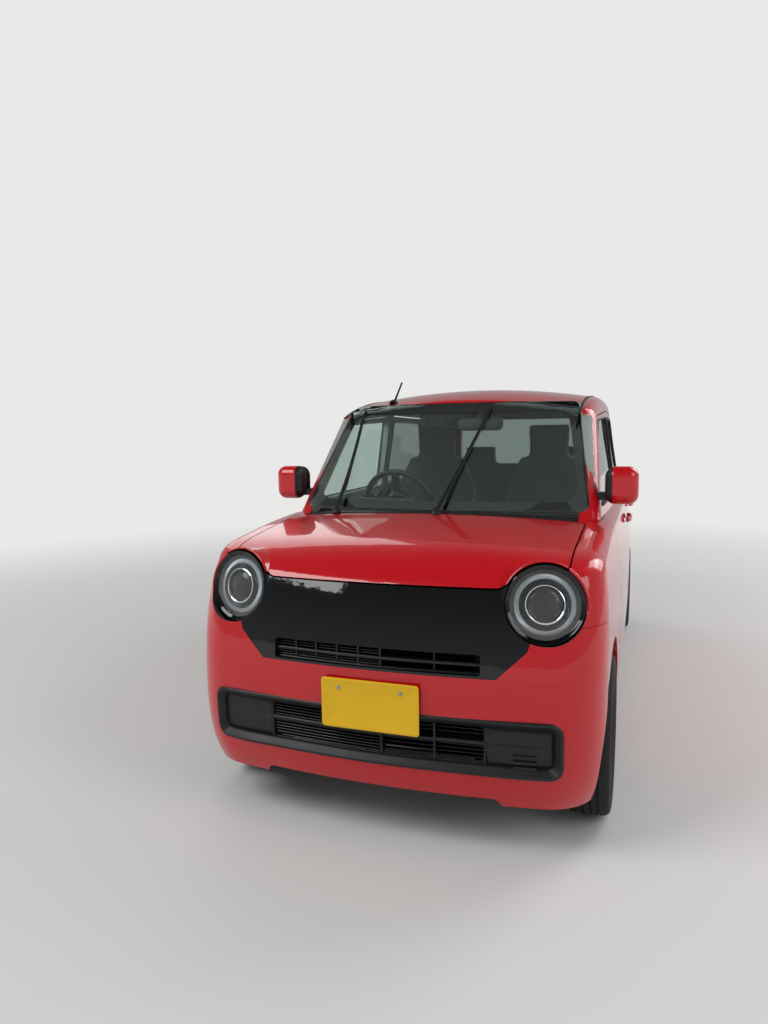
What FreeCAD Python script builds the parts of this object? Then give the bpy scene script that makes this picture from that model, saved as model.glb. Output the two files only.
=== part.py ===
import FreeCAD, Part
import math
import os

import Sketcher

# Kei car: a five-door hatchback with round headlamps.
# Millimetres. +X is the car's left, +Y points to the tail, +Z is up, the ground is z = 0.
# The origin lies on the ground, midway between the bumpers.

V = FreeCAD.Vector

# Driving sizes: name, size, what it measures. A station is a distance behind the nose.
SIZES = [
    ("overall_length", 3395, "bumper to bumper"),
    ("overall_width", 1475, "across the doors, without mirrors"),
    ("roof_height", 1545, "ground to roof crown"),
    ("belt_height", 1010, "ground to the top of the body side"),
    ("sill_height", 170, "ground to the underside of the sills"),
    ("wheelbase", 2520, "front axle to rear axle"),
    ("front_overhang", 490, "nose to front axle"),
    ("track", 1305, "between the tyre centres of an axle"),
    ("wall", 62, "thickness of doors and body sides"),
    ("pillar", 42, "thickness of pillars, roof rails and window frames"),
    ("roof_wall", 34, "thickness of the roof"),
    ("skin", 18, "thickness of bonnet, fenders and bumpers"),
    ("glass", 5, "thickness of the panes"),
    ("glass_set_in", 12, "door pane behind the outer skin"),
    ("panel_gap", 5.5, "gap round doors and lids"),
    ("seat_gap", 0.3, "clearance between pieces that seat on each other"),
    ("running_fit", 0.1, "radial clearance of a turning shaft"),
    ("screen_foot", 778, "station of the windscreen's foot"),
    ("screen_base_half", 612, "half width of the windscreen's foot"),
    ("screen_top_half", 532, "half width of the windscreen's head"),
    ("screen_head", 1464, "height of the windscreen's head"),
    ("bonnet_rear", 748, "station of the bonnet's rear edge"),
    ("bonnet_half", 602, "half width of the bonnet"),
    ("bonnet_lip", 852, "height of the bonnet's front lip"),
    ("door_front", 885, "station of the front door's front edge"),
    ("door_split", 1935, "station between front and rear door"),
    ("door_bottom", 232, "height of the doors' lower edge"),
    ("door_head", 1438, "height of the door frames' upper edge"),
    ("window_sill", 1026, "height of the side windows' lower edge"),
    ("frame_width", 45, "window frame width"),
    ("roof_half", 538, "half width of the roof panel"),
    ("tailgate_front", 345, "tailgate's upper edge ahead of the tail"),
    ("tailgate_bottom", 640, "height of the tailgate's lower edge"),
    ("tailgate_gap", 9, "gap between roof and tailgate"),
    ("lamp_x", 533, "headlamp centre from the middle"),
    ("lamp_station", 122, "station of the headlamp centre"),
    ("lamp_z", 811, "height of the headlamp centre"),
    ("lamp_radius", 125, "outer radius of the headlamp ring"),
    ("lamp_turn", 14, "headlamp faces outward, degrees"),
    ("lamp_lean", 11, "headlamp leans back, degrees"),
    ("lamp_ring", 30, "width of the headlamp's dark ring"),
    ("intake_half", 597, "half width of the lower intake"),
    ("intake_low", 283, "height of the lower intake's lower edge"),
    ("intake_high", 462, "height of the lower intake's upper edge"),
    ("tyre_radius", 278, "tyre's outer radius"),
    ("tyre_width", 152, "tyre's section width"),
    ("rim_radius", 178, "rim radius under the bead"),
    ("rim_width", 124, "rim width"),
    ("rim_wall", 12, "rim barrel thickness"),
    ("spoke_count", 10, "spokes of a wheel"),
    ("hub_radius", 62, "hub face radius"),
    ("disc_radius", 115, "brake disc radius"),
    ("spindle_radius", 14, "stub axle radius"),
    ("front_arch", 316, "front wheel arch radius"),
    ("rear_arch", 300, "rear wheel arch radius"),
    ("arch_rise", 20, "arch centre above the axle"),
    ("liner", 12, "wheelhouse thickness"),
    ("front_liner_x", 400, "front wheelhouse inner wall from the middle"),
    ("rear_liner_x", 545, "rear wheelhouse inner wall from the middle"),
    ("ball_x", 590, "lower ball joint from the middle"),
    ("ball_z", 185, "height of the lower ball joint"),
    ("strut_x", 505, "strut top mount from the middle"),
    ("strut_z", 820, "height of the strut top mount"),
    ("strut_foot_x", 545, "strut foot from the middle"),
    ("strut_foot_z", 345, "height of the strut foot"),
    ("strut_radius", 24, "strut tube radius"),
    ("spring_radius", 58, "front spring radius"),
    ("floor", 20, "floor thickness"),
    ("floor_height", 215, "height of the footwell floor"),
    ("tank_floor", 330, "height of the floor over the tank"),
    ("boot_floor", 430, "height of the boot floor"),
    ("firewall", 742, "station of the firewall"),
    ("engine_length", 400, "engine along the car"),
    ("engine_width", 560, "engine across the car"),
    ("engine_height", 520, "engine height"),
    ("tank_length", 480, "fuel tank along the car"),
    ("tank_width", 820, "fuel tank across the car"),
    ("seat_x", 315, "front seat centre from the middle"),
    ("seat_width", 470, "front seat width"),
    ("seat_station", 1480, "station of the front seat cushion's front edge"),
    ("seat_top", 590, "height of the front seat cushion"),
    ("bench_station", 2330, "station of the rear bench's front edge"),
    ("bench_top", 620, "height of the rear bench cushion"),
    ("bench_half", 520, "half width of the rear bench"),
    ("steering_x", 330, "steering wheel centre from the middle"),
    ("steering_station", 1325, "station of the steering wheel centre"),
    ("steering_z", 992, "height of the steering wheel centre"),
    ("steering_radius", 178, "steering wheel outer radius"),
    ("steering_grip", 14, "steering wheel rim's section radius"),
    ("steering_tilt", 25, "column's rise towards the driver, degrees"),
    ("column_radius", 22, "steering column radius"),
    ("dash_half", 585, "half width of the dashboard"),
    ("dash_front", 905, "station of the dashboard's front"),
    ("dash_depth", 285, "dashboard along the car"),
    ("mirror_reach", 789, "mirror's outer side from the middle"),
    ("mirror_width", 128, "mirror housing width"),
    ("mirror_height", 150, "mirror housing height"),
    ("mirror_depth", 92, "mirror housing depth"),
    ("mirror_z", 1115, "height of the mirror's centre"),
    ("mirror_station", 945, "station of the mirror's centre"),
    ("mirror_foot", 72, "length of the mirror's foot along the door frame"),
    ("beam_station", 2790, "station of the rear axle's cross beam"),
    ("exhaust_radius", 22, "exhaust pipe radius"),
    ("hanger_radius", 6, "exhaust hanger radius"),
    ("hinge_pin", 3, "hinge pin radius"),
]

doc = FreeCAD.newDocument("KeiCar")
sheet = doc.addObject("Spreadsheet::Sheet", "Sizes")
for row, (name, amount, meaning) in enumerate(SIZES, start=1):
    sheet.set(f"A{row}", meaning)
    sheet.set(f"B{row}", str(amount))
    sheet.setAlias(f"B{row}", name)
doc.recompute()


class Sheet:
    """Reads a named size from the sheet."""

    def __getattr__(self, name):
        return float(sheet.get(name))


s = Sheet()
half = s.overall_width / 2
nose = -s.overall_length / 2
tail = s.overall_length / 2
front_axle = nose + s.front_overhang
rear_axle = front_axle + s.wheelbase
wheel_x = s.track / 2
FAR = 2 * s.overall_width


def at(station):
    """Y of a station behind the nose."""
    return nose + station


# Outlines and prisms


def rounded_wire(corners, place):
    """Closed wire through corners (a, b, radius), each rounded by a tangent arc."""
    count = len(corners)
    starts, edges = [], []
    for i, (a, b, radius) in enumerate(corners):
        before, here, after = V(*corners[i - 1][:2], 0), V(a, b, 0), V(*corners[(i + 1) % count][:2], 0)
        inward, outward = (before - here).normalize(), (after - here).normalize()
        half_angle = inward.getAngle(outward) / 2
        reach = radius / math.tan(half_angle)
        centre = here + (inward + outward).normalize() * (radius / math.sin(half_angle))
        middle = centre + (here - centre).normalize() * radius
        starts.append((here + inward * reach, middle, here + outward * reach))
    for i, (enter, middle, leave) in enumerate(starts):
        enter, middle, leave = (place(p.x, p.y) for p in (enter, middle, leave))
        following = place(starts[(i + 1) % count][0].x, starts[(i + 1) % count][0].y)
        edges.append(Part.Arc(enter, middle, leave).toShape())
        edges.append(Part.makeLine(leave, following))
    return Part.Wire(edges)


def grown(corners, by):
    """The outline with every side moved outward by a distance, corner radii kept."""
    count = len(corners)
    area = sum(corners[i - 1][0] * corners[i][1] - corners[i][0] * corners[i - 1][1] for i in range(count))
    turn = 1 if area > 0 else -1
    sides = []
    for i in range(count):
        (a, b, _), (c, d, _) = corners[i], corners[(i + 1) % count]
        length = math.hypot(c - a, d - b)
        normal = ((d - b) / length * turn, (a - c) / length * turn)
        sides.append((normal, normal[0] * a + normal[1] * b + by))
    moved = []
    for i in range(count):
        (n, p), (m, q) = sides[i - 1], sides[i]
        det = n[0] * m[1] - n[1] * m[0]
        moved.append(((p * m[1] - q * n[1]) / det, (n[0] * q - m[0] * p) / det, corners[i][2]))
    return moved


def side_prism(corners, x0, x1):
    """Prism across the car from an outline of stations and heights."""
    wire = rounded_wire(corners, lambda station, z: V(x0, at(station), z))
    return Part.Face(wire).extrude(V(x1 - x0, 0, 0))


def front_prism(corners, y0, y1):
    """Prism along the car from a front-view outline of x and z."""
    wire = rounded_wire(corners, lambda x, z: V(x, y0, z))
    return Part.Face(wire).extrude(V(0, y1 - y0, 0))


def plan_prism(corners, z0, z1):
    """Upright prism from a plan outline of x and stations."""
    wire = rounded_wire(corners, lambda x, station: V(x, at(station), z0))
    return Part.Face(wire).extrude(V(0, 0, z1 - z0))


def box(x0, x1, y0, y1, z0, z1):
    """Box between two corners."""
    return Part.makeBox(x1 - x0, y1 - y0, z1 - z0, V(x0, y0, z0))


def both_ways(corners):
    """A front-view outline given for x > 0, from low to high, closed by its mirror image."""
    return corners + [(-x, z, radius) for x, z, radius in reversed(corners)]


def mirrored(shape):
    """The shape's mirror image on the other side of the car."""
    return shape.mirror(V(0, 0, 0), V(1, 0, 0))


# Envelope of the body: lofts through plan outlines of tangent arcs

# Plan curvature: front bow, rear bow, side bow, front corner, rear corner, y of the widest place
LOWER_PLAN = (3400, 4200, 60000, 180, 130, 100)
GREEN_PLAN = (3300, 3000, 20000, 100, 120, 200)
# Body below the belt: height above the sill, side tuck, nose set-back, tail set-back
LOWER_SECTIONS = [
    (0, 32, 45, 62),
    (130, 8, 8, 12),
    (280, 1.5, 0, 2),
    (430, 0, 9, 0),
    (590, 3, 44, 34),
    (710, 15, 94, 56),
    (880, 52, 190, 96),
]
# Body above the belt: drop below the roof crown, side tuck, front behind the screen foot, tail set-back
GREEN_SECTIONS = [
    (585, 57.5, -48, 78),
    (345, 97.5, 187, 170),
    (105, 133.5, 423, 276),
    (-55, 157.5, 580, 345),
]
# Bonnet and belt surface: drops below the belt height at evenly spaced stations
BELT_START, BELT_PITCH = -60, 150
BELT_FALLS = [240, 142, 63, 35, 19, 7, 0]
BELT_CROWN = 9000
# Roof surface: drops below the roof crown at evenly spaced stations
ROOF_START, ROOF_PITCH = 650, 475
ROOF_FALLS = [345, 103, 12, 0, 11, 48, 118]
ROOF_CROWN = 3200
SHOULDER_ROUND = 62
ROOF_ROUND = 58
# How far the hollow above the belt reaches down into the one below
GREEN_LAP = 24


def circle_meet(c1, r1, c2, r2, pick):
    """Where two circles cross, the one that pick prefers among those on the left side."""
    dx, dy = c2[0] - c1[0], c2[1] - c1[1]
    d = math.hypot(dx, dy)
    a = (r1 * r1 - r2 * r2 + d * d) / (2 * d)
    h = math.sqrt(max(r1 * r1 - a * a, 0))
    ex, ey = dx / d, dy / d
    mx, my = c1[0] + a * ex, c1[1] + a * ey
    crossings = [(mx - h * ey, my + h * ex), (mx + h * ey, my - h * ex)]
    return pick([c for c in crossings if c[0] > 0], key=lambda c: c[1])


def arc_about(centre, radius, start, end, z):
    """Short arc from start to end about a centre."""
    a = math.atan2(start[1] - centre[1], start[0] - centre[0])
    b = math.atan2(end[1] - centre[1], end[0] - centre[0])
    middle = a + ((b - a + math.pi) % (2 * math.pi) - math.pi) / 2
    through = V(centre[0] + radius * math.cos(middle), centre[1] + radius * math.sin(middle), z)
    return Part.Arc(V(*start, z), through, V(*end, z)).toShape()


def towards(centre, other, radius):
    """Point at a radius from centre on the ray through another point."""
    length = math.hypot(other[0] - centre[0], other[1] - centre[1])
    share = radius / length
    return (centre[0] + (other[0] - centre[0]) * share, centre[1] + (other[1] - centre[1]) * share)


def plan_outline(z, half_width, front, rear, plan, inset):
    """Plan outline of eight tangent arcs, moved inward by inset."""
    front_bow, rear_bow, side_bow, front_corner, rear_corner = (r - inset for r in plan[:5])
    half_width, front, rear = half_width - inset, front + inset, rear - inset
    c_front, c_rear, c_side = (0, front + front_bow), (0, rear - rear_bow), (half_width - side_bow, plan[5])
    c_fc = circle_meet(c_front, front_bow - front_corner, c_side, side_bow - front_corner, min)
    c_rc = circle_meet(c_rear, rear_bow - rear_corner, c_side, side_bow - rear_corner, max)
    front_end, side_start = towards(c_front, c_fc, front_bow), towards(c_side, c_fc, side_bow)
    rear_end, side_end = towards(c_rear, c_rc, rear_bow), towards(c_side, c_rc, side_bow)

    def flip(p):
        return (-p[0], p[1])

    arcs = [
        (c_front, front_bow, flip(front_end), front_end),
        (c_fc, front_corner, front_end, side_start),
        (c_side, side_bow, side_start, side_end),
        (c_rc, rear_corner, side_end, rear_end),
        (c_rear, rear_bow, rear_end, flip(rear_end)),
        (flip(c_rc), rear_corner, flip(rear_end), flip(side_end)),
        (flip(c_side), side_bow, flip(side_end), flip(side_start)),
        (flip(c_fc), front_corner, flip(side_start), flip(front_end)),
    ]
    return Part.Wire([arc_about(c, r, p, q, z) for c, r, p, q in arcs])


def surface_section(y, z, crown, bottom):
    """Section across the car: an arc on top of an upright block."""
    width = s.overall_width * 0.62
    side_z = z - crown + math.sqrt(crown * crown - width * width)
    corners = [V(-width, y, side_z), V(width, y, side_z), V(width, y, bottom), V(-width, y, bottom)]
    arc = Part.Arc(corners[0], V(0, y, z), corners[1]).toShape()
    return Part.Wire([arc] + [Part.makeLine(p, q) for p, q in zip(corners[1:], corners[2:] + corners[:1])])


def below_surface(start, pitch, falls, crown, top, bottom, drop):
    """Solid under a surface that is crowned across the car and follows a side-view curve."""
    sections = [
        surface_section(at(start + i * pitch), top - fall - drop, crown, bottom) for i, fall in enumerate(falls)
    ]
    return Part.makeLoft(sections, True, False)


def top_edges(shape, above):
    """Edges that run round the top of the shape."""
    return [e for e in shape.Edges if e.BoundBox.ZMin > above and e.BoundBox.ZLength < 420]


def lower_body(inset, drop, rounding):
    """Body below the belt, moved inward by inset and lowered by drop at the top."""
    sections = []
    for rise, tuck, front, rear in LOWER_SECTIONS:
        z = s.sill_height + rise
        sections.append(plan_outline(z, half - tuck, nose + front, tail - rear, LOWER_PLAN, inset))
    lower = Part.makeLoft(sections, True, False)
    under = below_surface(BELT_START, BELT_PITCH, BELT_FALLS, BELT_CROWN, s.belt_height, 0, drop)
    ends = [at(BELT_START + BELT_PITCH * (len(BELT_FALLS) - 1)), tail + SHOULDER_ROUND]
    level = [surface_section(y, s.belt_height - drop, BELT_CROWN, 0) for y in ends]
    under = under.fuse(Part.makeLoft(level, True, True)).removeSplitter()
    shape = lower.common(under)
    return shape.makeFillet(rounding, top_edges(shape, s.belt_height - 320))


def greenhouse(inset, drop, rounding):
    """Body above the belt, moved inward by inset and lowered by drop at the roof."""
    sections = []
    for fall, tuck, front, rear in GREEN_SECTIONS:
        z = s.roof_height - fall
        sections.append(plan_outline(z, half - tuck, at(s.screen_foot) + front, tail - rear, GREEN_PLAN, inset))
    upper = Part.makeLoft(sections, True, False)
    bottom = s.belt_height - 200
    under = below_surface(ROOF_START, ROOF_PITCH, ROOF_FALLS, ROOF_CROWN, s.roof_height, bottom, drop)
    shape = upper.common(under)
    if rounding:
        shape = shape.makeFillet(rounding, top_edges(shape, s.roof_height - 330))
    return shape


def top_z(shape, x, y):
    """Height of a shape's upper surface at a place."""
    return shape.common(Part.makeLine(V(x, y, 0), V(x, y, FAR))).BoundBox.ZMax


# Headlamp axis: the ring faces outward and leans back
turn, lean = math.radians(s.lamp_turn), math.radians(s.lamp_lean)
lamp_axis = V(math.sin(turn) * math.cos(lean), -math.cos(turn) * math.cos(lean), math.sin(lean))
lamp_centre = V(s.lamp_x, at(s.lamp_station), s.lamp_z)
POD_DEPTH = 190
POD_RIM = 11


def lamp_cylinder(radius, ahead, behind):
    """Left headlamp's cylinder from a distance ahead of its ring to a distance behind."""
    return Part.makeCylinder(radius, ahead + behind, lamp_centre - lamp_axis * behind, lamp_axis)


pod_rim = s.lamp_radius + POD_RIM
pod = Part.makeCone(pod_rim + POD_RIM, pod_rim, POD_DEPTH, lamp_centre - lamp_axis * POD_DEPTH, lamp_axis)
pod = pod.makeFillet(POD_RIM / 2, [e for e in pod.Edges if abs(e.Length - math.tau * pod_rim) < 1])
lamp_seat = lamp_cylinder(s.lamp_radius + 1, 0, POD_DEPTH)

lower_plain = lower_body(0, 0, SHOULDER_ROUND)
lower_outer = lower_plain.fuse([pod, mirrored(pod)])
lower_skin = lower_body(s.skin, s.skin, SHOULDER_ROUND - s.skin).fuse([lamp_seat, mirrored(lamp_seat)])
lower_inner = lower_body(s.wall, s.pillar, SHOULDER_ROUND / 3)
green_outer = greenhouse(0, 0, ROOF_ROUND)
green_inner = greenhouse(s.pillar, s.roof_wall, ROOF_ROUND - s.roof_wall)
green_foot = min(green_inner.Faces, key=lambda face: face.BoundBox.ZMax).extrude(V(0, 0, -GREEN_LAP))
green_inner = green_inner.fuse(green_foot)
skin_shell = lower_outer.cut(lower_skin)
cabin_shell = lower_plain.fuse(green_outer).cut(lower_inner.fuse(green_inner))
green_shell = green_outer.cut(green_inner)
cabin_space = lower_body(s.wall + s.seat_gap, s.pillar + s.seat_gap, SHOULDER_ROUND / 3)
skin_space = lower_body(s.skin + s.seat_gap, s.skin + s.seat_gap, SHOULDER_ROUND - s.skin)
left_half = box(0, FAR, 2 * nose, 2 * tail, 0, 2 * s.roof_height)
left_cabin = cabin_shell.common(left_half)
left_skin = skin_shell.common(left_half)


# Outlines of doors, lids and windows. Side view: station, height, corner radius

ARCH_Z = s.tyre_radius + s.arch_rise
PILLAR_SLOPE = (s.screen_head - s.belt_height) / 452
door_foot = s.door_front + 27
head_front = door_foot + (s.door_head - 30 - s.belt_height) / PILLAR_SLOPE
rear_axle_station = s.front_overhang + s.wheelbase
FRONT_DOOR = [
    (s.door_front, s.door_bottom, 40),
    (s.door_front, s.belt_height - 70, 60),
    (door_foot, s.belt_height - 5, 40),
    (head_front, s.door_head - 30, 60),
    (s.door_split, s.door_head, 12),
    (s.door_split, s.door_bottom, 40),
]
REAR_DOOR = [
    (s.door_split + s.panel_gap, s.door_bottom, 40),
    (s.door_split + s.panel_gap, s.door_head, 12),
    (rear_axle_station - 405, s.door_head - 14, 70),
    (rear_axle_station - 222, s.belt_height, 60),
    (rear_axle_station - 222, 655, 60),
    (rear_axle_station - 338, 420, 60),
    (rear_axle_station - 362, s.door_bottom, 50),
]
sill_run = s.frame_width / math.sin(math.atan(PILLAR_SLOPE))
FRONT_WINDOW = [
    (door_foot + sill_run + 20, s.window_sill, 10),
    (head_front + sill_run - s.frame_width + 8, s.door_head - s.frame_width - 16, 34),
    (s.door_split - s.frame_width, s.door_head - s.frame_width, 20),
    (s.door_split - s.frame_width, s.window_sill, 14),
]
REAR_WINDOW = [
    (s.door_split + s.panel_gap + s.frame_width, s.window_sill, 14),
    (s.door_split + s.panel_gap + s.frame_width, s.door_head - s.frame_width, 20),
    (rear_axle_station - 405 - s.frame_width, s.door_head - s.frame_width - 12, 40),
    (rear_axle_station - 226 - s.frame_width, s.window_sill, 20),
]
DOOR_TAPER = 0.12


def side_x(y):
    """X of the body side's widest line at y."""
    return half - LOWER_PLAN[2] + math.sqrt(LOWER_PLAN[2] ** 2 - (y - LOWER_PLAN[5]) ** 2)


def door_plug(outline, by):
    """Tapered plug through the left body side, wider outside, moved outward by a distance."""
    x_out, x_in = half + s.wall, half - 4 * s.wall
    outer = grown(outline, by + (x_out - half) * DOOR_TAPER)
    inner = grown(outline, by - (half - x_in) * DOOR_TAPER)
    wires = [
        rounded_wire(corners, lambda station, z, x=x: V(x, at(station), z))
        for corners, x in ((outer, x_out), (inner, x_in))
    ]
    return Part.makeLoft(wires, True, True)


# Front view: x, height, corner radius
SCREEN = both_ways([(s.screen_base_half, s.belt_height + 5, 30), (s.screen_top_half, s.screen_head, 34)])
TAILGATE = both_ways([
    (556, s.tailgate_bottom, 40),
    (588, s.tailgate_bottom + 90, 60),
    (588, s.belt_height - 24, 60),
    (560, s.belt_height + 26, 60),
    (498, s.roof_height, 30),
])
TAILGATE_WINDOW = both_ways([(472, s.belt_height + 62, 40), (432, s.roof_height - 148, 40)])
PANEL = both_ways([
    (397, 590, 12),
    (488, 677, 6),
    (s.lamp_x, s.lamp_z, 20),
    (444, s.bonnet_lip + 33, 16),
    (396, s.bonnet_lip, 40),
])
UPPER_INTAKE = both_ways([(350, 598, 10), (350, 662, 10)])
LOWER_INTAKE = both_ways([(s.intake_half, s.intake_low, 30), (s.intake_half, s.intake_high, 30)])
BUMPER_FOOT = both_ways([(396, 100, 5), (416, 196, 30)])
BUMPER_TOP = 745
BUMPER_SIDE = [
    (-60, 100, 5),
    (-60, BUMPER_TOP, 5),
    (s.lamp_station + 106, BUMPER_TOP, 20),
    (s.lamp_station + 216, 540, 20),
    (s.front_overhang, ARCH_Z, 5),
    (s.front_overhang, 100, 5),
]
# Plan view: x, station, corner radius
BONNET_PLAN = [
    (s.bonnet_half - 8, -60, 10),
    (s.bonnet_half - 8, 174, 400),
    (s.bonnet_half, s.bonnet_rear, 45),
    (-s.bonnet_half, s.bonnet_rear, 45),
    (8 - s.bonnet_half, 174, 400),
    (8 - s.bonnet_half, -60, 10),
]
ROOF_PLAN = [
    (s.roof_half, s.screen_foot + 330, 10),
    (s.roof_half, s.overall_length - s.tailgate_front, 10),
    (-s.roof_half, s.overall_length - s.tailgate_front, 10),
    (-s.roof_half, s.screen_foot + 330, 10),
]


def arch(radius, axle_y, x0, x1):
    """Cylinder of a wheel arch between two x positions."""
    return Part.makeCylinder(radius, x1 - x0, V(x0, axle_y, ARCH_Z), V(1, 0, 0))


front_arch_cut = arch(s.front_arch, front_axle, s.front_liner_x, FAR)
rear_arch_cut = arch(s.rear_arch, rear_axle, s.rear_liner_x, FAR)
lamp_hole = lamp_cylinder(s.lamp_radius + 1, POD_DEPTH, 2 * POD_DEPTH)
lamp_holes = [lamp_hole, mirrored(lamp_hole)]
screen_opening = front_prism(grown(SCREEN, s.seat_gap), nose, at(s.door_split))
tailgate_cut = front_prism(grown(TAILGATE, s.panel_gap), tail - s.tailgate_front, tail + 100)
roof_plug = plan_prism(grown(ROOF_PLAN, s.seat_gap), s.belt_height + 300, s.roof_height + 50)

pieces = {}


def add_piece(name, shape):
    """Sub-part whose form is a cut or shell of the body's envelope."""
    feature = doc.addObject("Part::Feature", name)
    feature.Label = name
    feature.Shape = shape
    pieces[name] = feature
    return feature


def add_mirror_image(name, source):
    """Sub-part that is the mirror image of one on the left."""
    feature = doc.addObject("Part::Mirroring", name)
    feature.Label = name
    feature.Source = source
    feature.Normal = (1, 0, 0)
    pieces[name] = feature
    return feature


# Doors: a plug of the body side with its window cut, a hinge pin in its front edge, and its pane

pane_outer = greenhouse(s.glass_set_in, s.glass_set_in, 0)
pane_inner = greenhouse(s.glass_set_in + s.glass, s.glass_set_in + s.glass, 0)
pane_layer = pane_outer.cut(pane_inner).common(left_half)
DOORS = [
    # name, outline, window, hinge station
    ("front", FRONT_DOOR, FRONT_WINDOW, s.door_front),
    ("rear", REAR_DOOR, REAR_WINDOW, s.door_split + s.panel_gap),
]
for name, outline, window, hinge in DOORS:
    pin_y = at(hinge) + s.hinge_pin
    pin = Part.makeCylinder(s.hinge_pin, 220, V(side_x(pin_y) - s.hinge_pin, pin_y, 490))
    opening = side_prism(window, 0, FAR)
    door = left_cabin.common(door_plug(outline, 0).cut(opening)).fuse(pin)
    pane = pane_layer.common(side_prism(grown(window, -s.seat_gap), 0, FAR))
    for part_name, shape in ((f"door_{name}", door), (f"door_glass_{name}", pane)):
        add_mirror_image(f"{part_name}_right", add_piece(f"{part_name}_left", shape))

# Body sides: sill, hinge pillar, windscreen pillar, roof rail, centre post, rear quarter with its arch

door_cuts = [door_plug(outline, s.panel_gap) for _, outline, _, _ in DOORS]
fender_back = s.door_front - s.panel_gap
hinge_pillar = skin_space.common(
    box(s.screen_base_half - 12, FAR, at(fender_back) - 44, at(fender_back), s.sill_height, s.belt_height)
)
bumper_cut = side_prism(
    [
        (rear_axle_station + 60, 100, 5),
        (rear_axle_station + 60, ARCH_Z, 5),
        (rear_axle_station + 250, s.tailgate_bottom - 30, 20),
        (s.overall_length + 60, s.tailgate_bottom - 30, 5),
        (s.overall_length + 60, 100, 5),
    ],
    -FAR,
    FAR,
)
TAIL_LAMP = [
    (602, s.tailgate_bottom + 90, 20),
    (760, s.tailgate_bottom + 90, 20),
    (760, s.belt_height - 52, 30),
    (602, s.belt_height - 52, 30),
]
tail_lamp_cut = front_prism(TAIL_LAMP, tail - 130, tail + 50)
sill_region = box(0, FAR, at(fender_back) - 44, tail, 0, s.door_bottom - s.panel_gap)
side_region = box(0, FAR, at(fender_back), tail + 50, 0, s.roof_height + 50).fuse(sill_region)
foot_region = box(s.screen_base_half - 40, FAR, at(s.screen_foot) - 40, at(fender_back), s.belt_height - 60,
                  s.roof_height)
side_cuts = door_cuts + [screen_opening, roof_plug, tailgate_cut, rear_arch_cut, bumper_cut, tail_lamp_cut]
side = left_cabin.common(side_region.cut(side_cuts))
pillar_foot = green_shell.common(foot_region.cut(door_cuts + [screen_opening]))
side = side.fuse([pillar_foot, hinge_pillar])
side = max(side.Solids, key=lambda solid: solid.Volume)
add_piece("body_sides", Part.makeCompound([side, mirrored(side)]))

# Roof panel, windscreen and cowl

roof = cabin_shell.common(plan_prism(ROOF_PLAN, s.belt_height + 300, s.roof_height + 50)).cut(screen_opening)
roof_end = tail - s.tailgate_front
gate_axis = V(0, roof_end - 11, top_z(roof, 0, roof_end - 2) - 14)
HINGE_X = (s.roof_half * 0.28, s.roof_half * 0.28 + 40)
gate_hinges = []
for x0, x1 in (HINGE_X, (-HINGE_X[1], -HINGE_X[0])):
    notch = box(x0, x1, gate_axis.y - 12, roof_end + 5, gate_axis.z - 80, gate_axis.z + 40)
    bore = Part.makeCylinder(4 + s.running_fit, x1 - x0 + 26, V(x0 - 13, gate_axis.y, gate_axis.z), V(1, 0, 0))
    roof = roof.cut([notch, bore])
    gate_hinges += [
        Part.makeCylinder(4, x1 - x0 + 24, V(x0 - 12, gate_axis.y, gate_axis.z), V(1, 0, 0)),
        Part.makeCylinder(8, x1 - x0 - 2, V(x0 + 1, gate_axis.y, gate_axis.z), V(1, 0, 0)),
        box(x0 + 1, x1 - 1, gate_axis.y, roof_end + s.tailgate_gap + 6, gate_axis.z - 8, gate_axis.z + 1),
    ]
add_piece("roof_panel", roof)
screen_layer = greenhouse(0, 0, ROOF_ROUND).cut(greenhouse(s.glass + 1, s.glass + 1, ROOF_ROUND))
add_piece("windscreen", screen_layer.common(front_prism(SCREEN, nose, at(s.door_split) - 300)))
cowl_depth = 2 * s.skin
cowl_half = s.screen_base_half - 40 - s.seat_gap
cowl_box = box(-cowl_half, cowl_half, at(s.bonnet_rear) + 8, at(s.bonnet_rear) + 92, s.belt_height - 120,
               s.roof_height)
tray = lower_body(cowl_depth, cowl_depth, 8).cut(lower_body(cowl_depth + 6, cowl_depth + 6, 8))
scuttle = green_shell.common(lower_body(cowl_depth + 6, 0, 8)).cut(screen_opening)
lid_axis = V(0, at(s.bonnet_rear) + 16, s.belt_height - 30)
brackets = []
for x in (s.bonnet_half - 84, s.bonnet_half - 54):
    ear = Part.makeCylinder(9, 8, V(x, lid_axis.y, lid_axis.z), V(1, 0, 0))
    leg = box(x, x + 8, lid_axis.y - 8, lid_axis.y + 9, s.belt_height - 62, lid_axis.z)
    ear = ear.fuse(leg).cut(Part.makeCylinder(5 + s.running_fit, 8, V(x, lid_axis.y, lid_axis.z), V(1, 0, 0)))
    brackets += [ear, mirrored(ear)]
bracket_room = box(s.bonnet_half - 86, s.bonnet_half - 44, lid_axis.y - 40, lid_axis.y + 14, s.belt_height - 50,
                   s.belt_height)
cowl = tray.fuse(scuttle).common(cowl_box).cut([bracket_room, mirrored(bracket_room)]).fuse(brackets)
cowl = max(cowl.Solids, key=lambda solid: solid.Volume)
add_piece("cowl_panel", cowl)

# Bonnet, front fenders, bumper and the panels between the lamps

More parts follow.
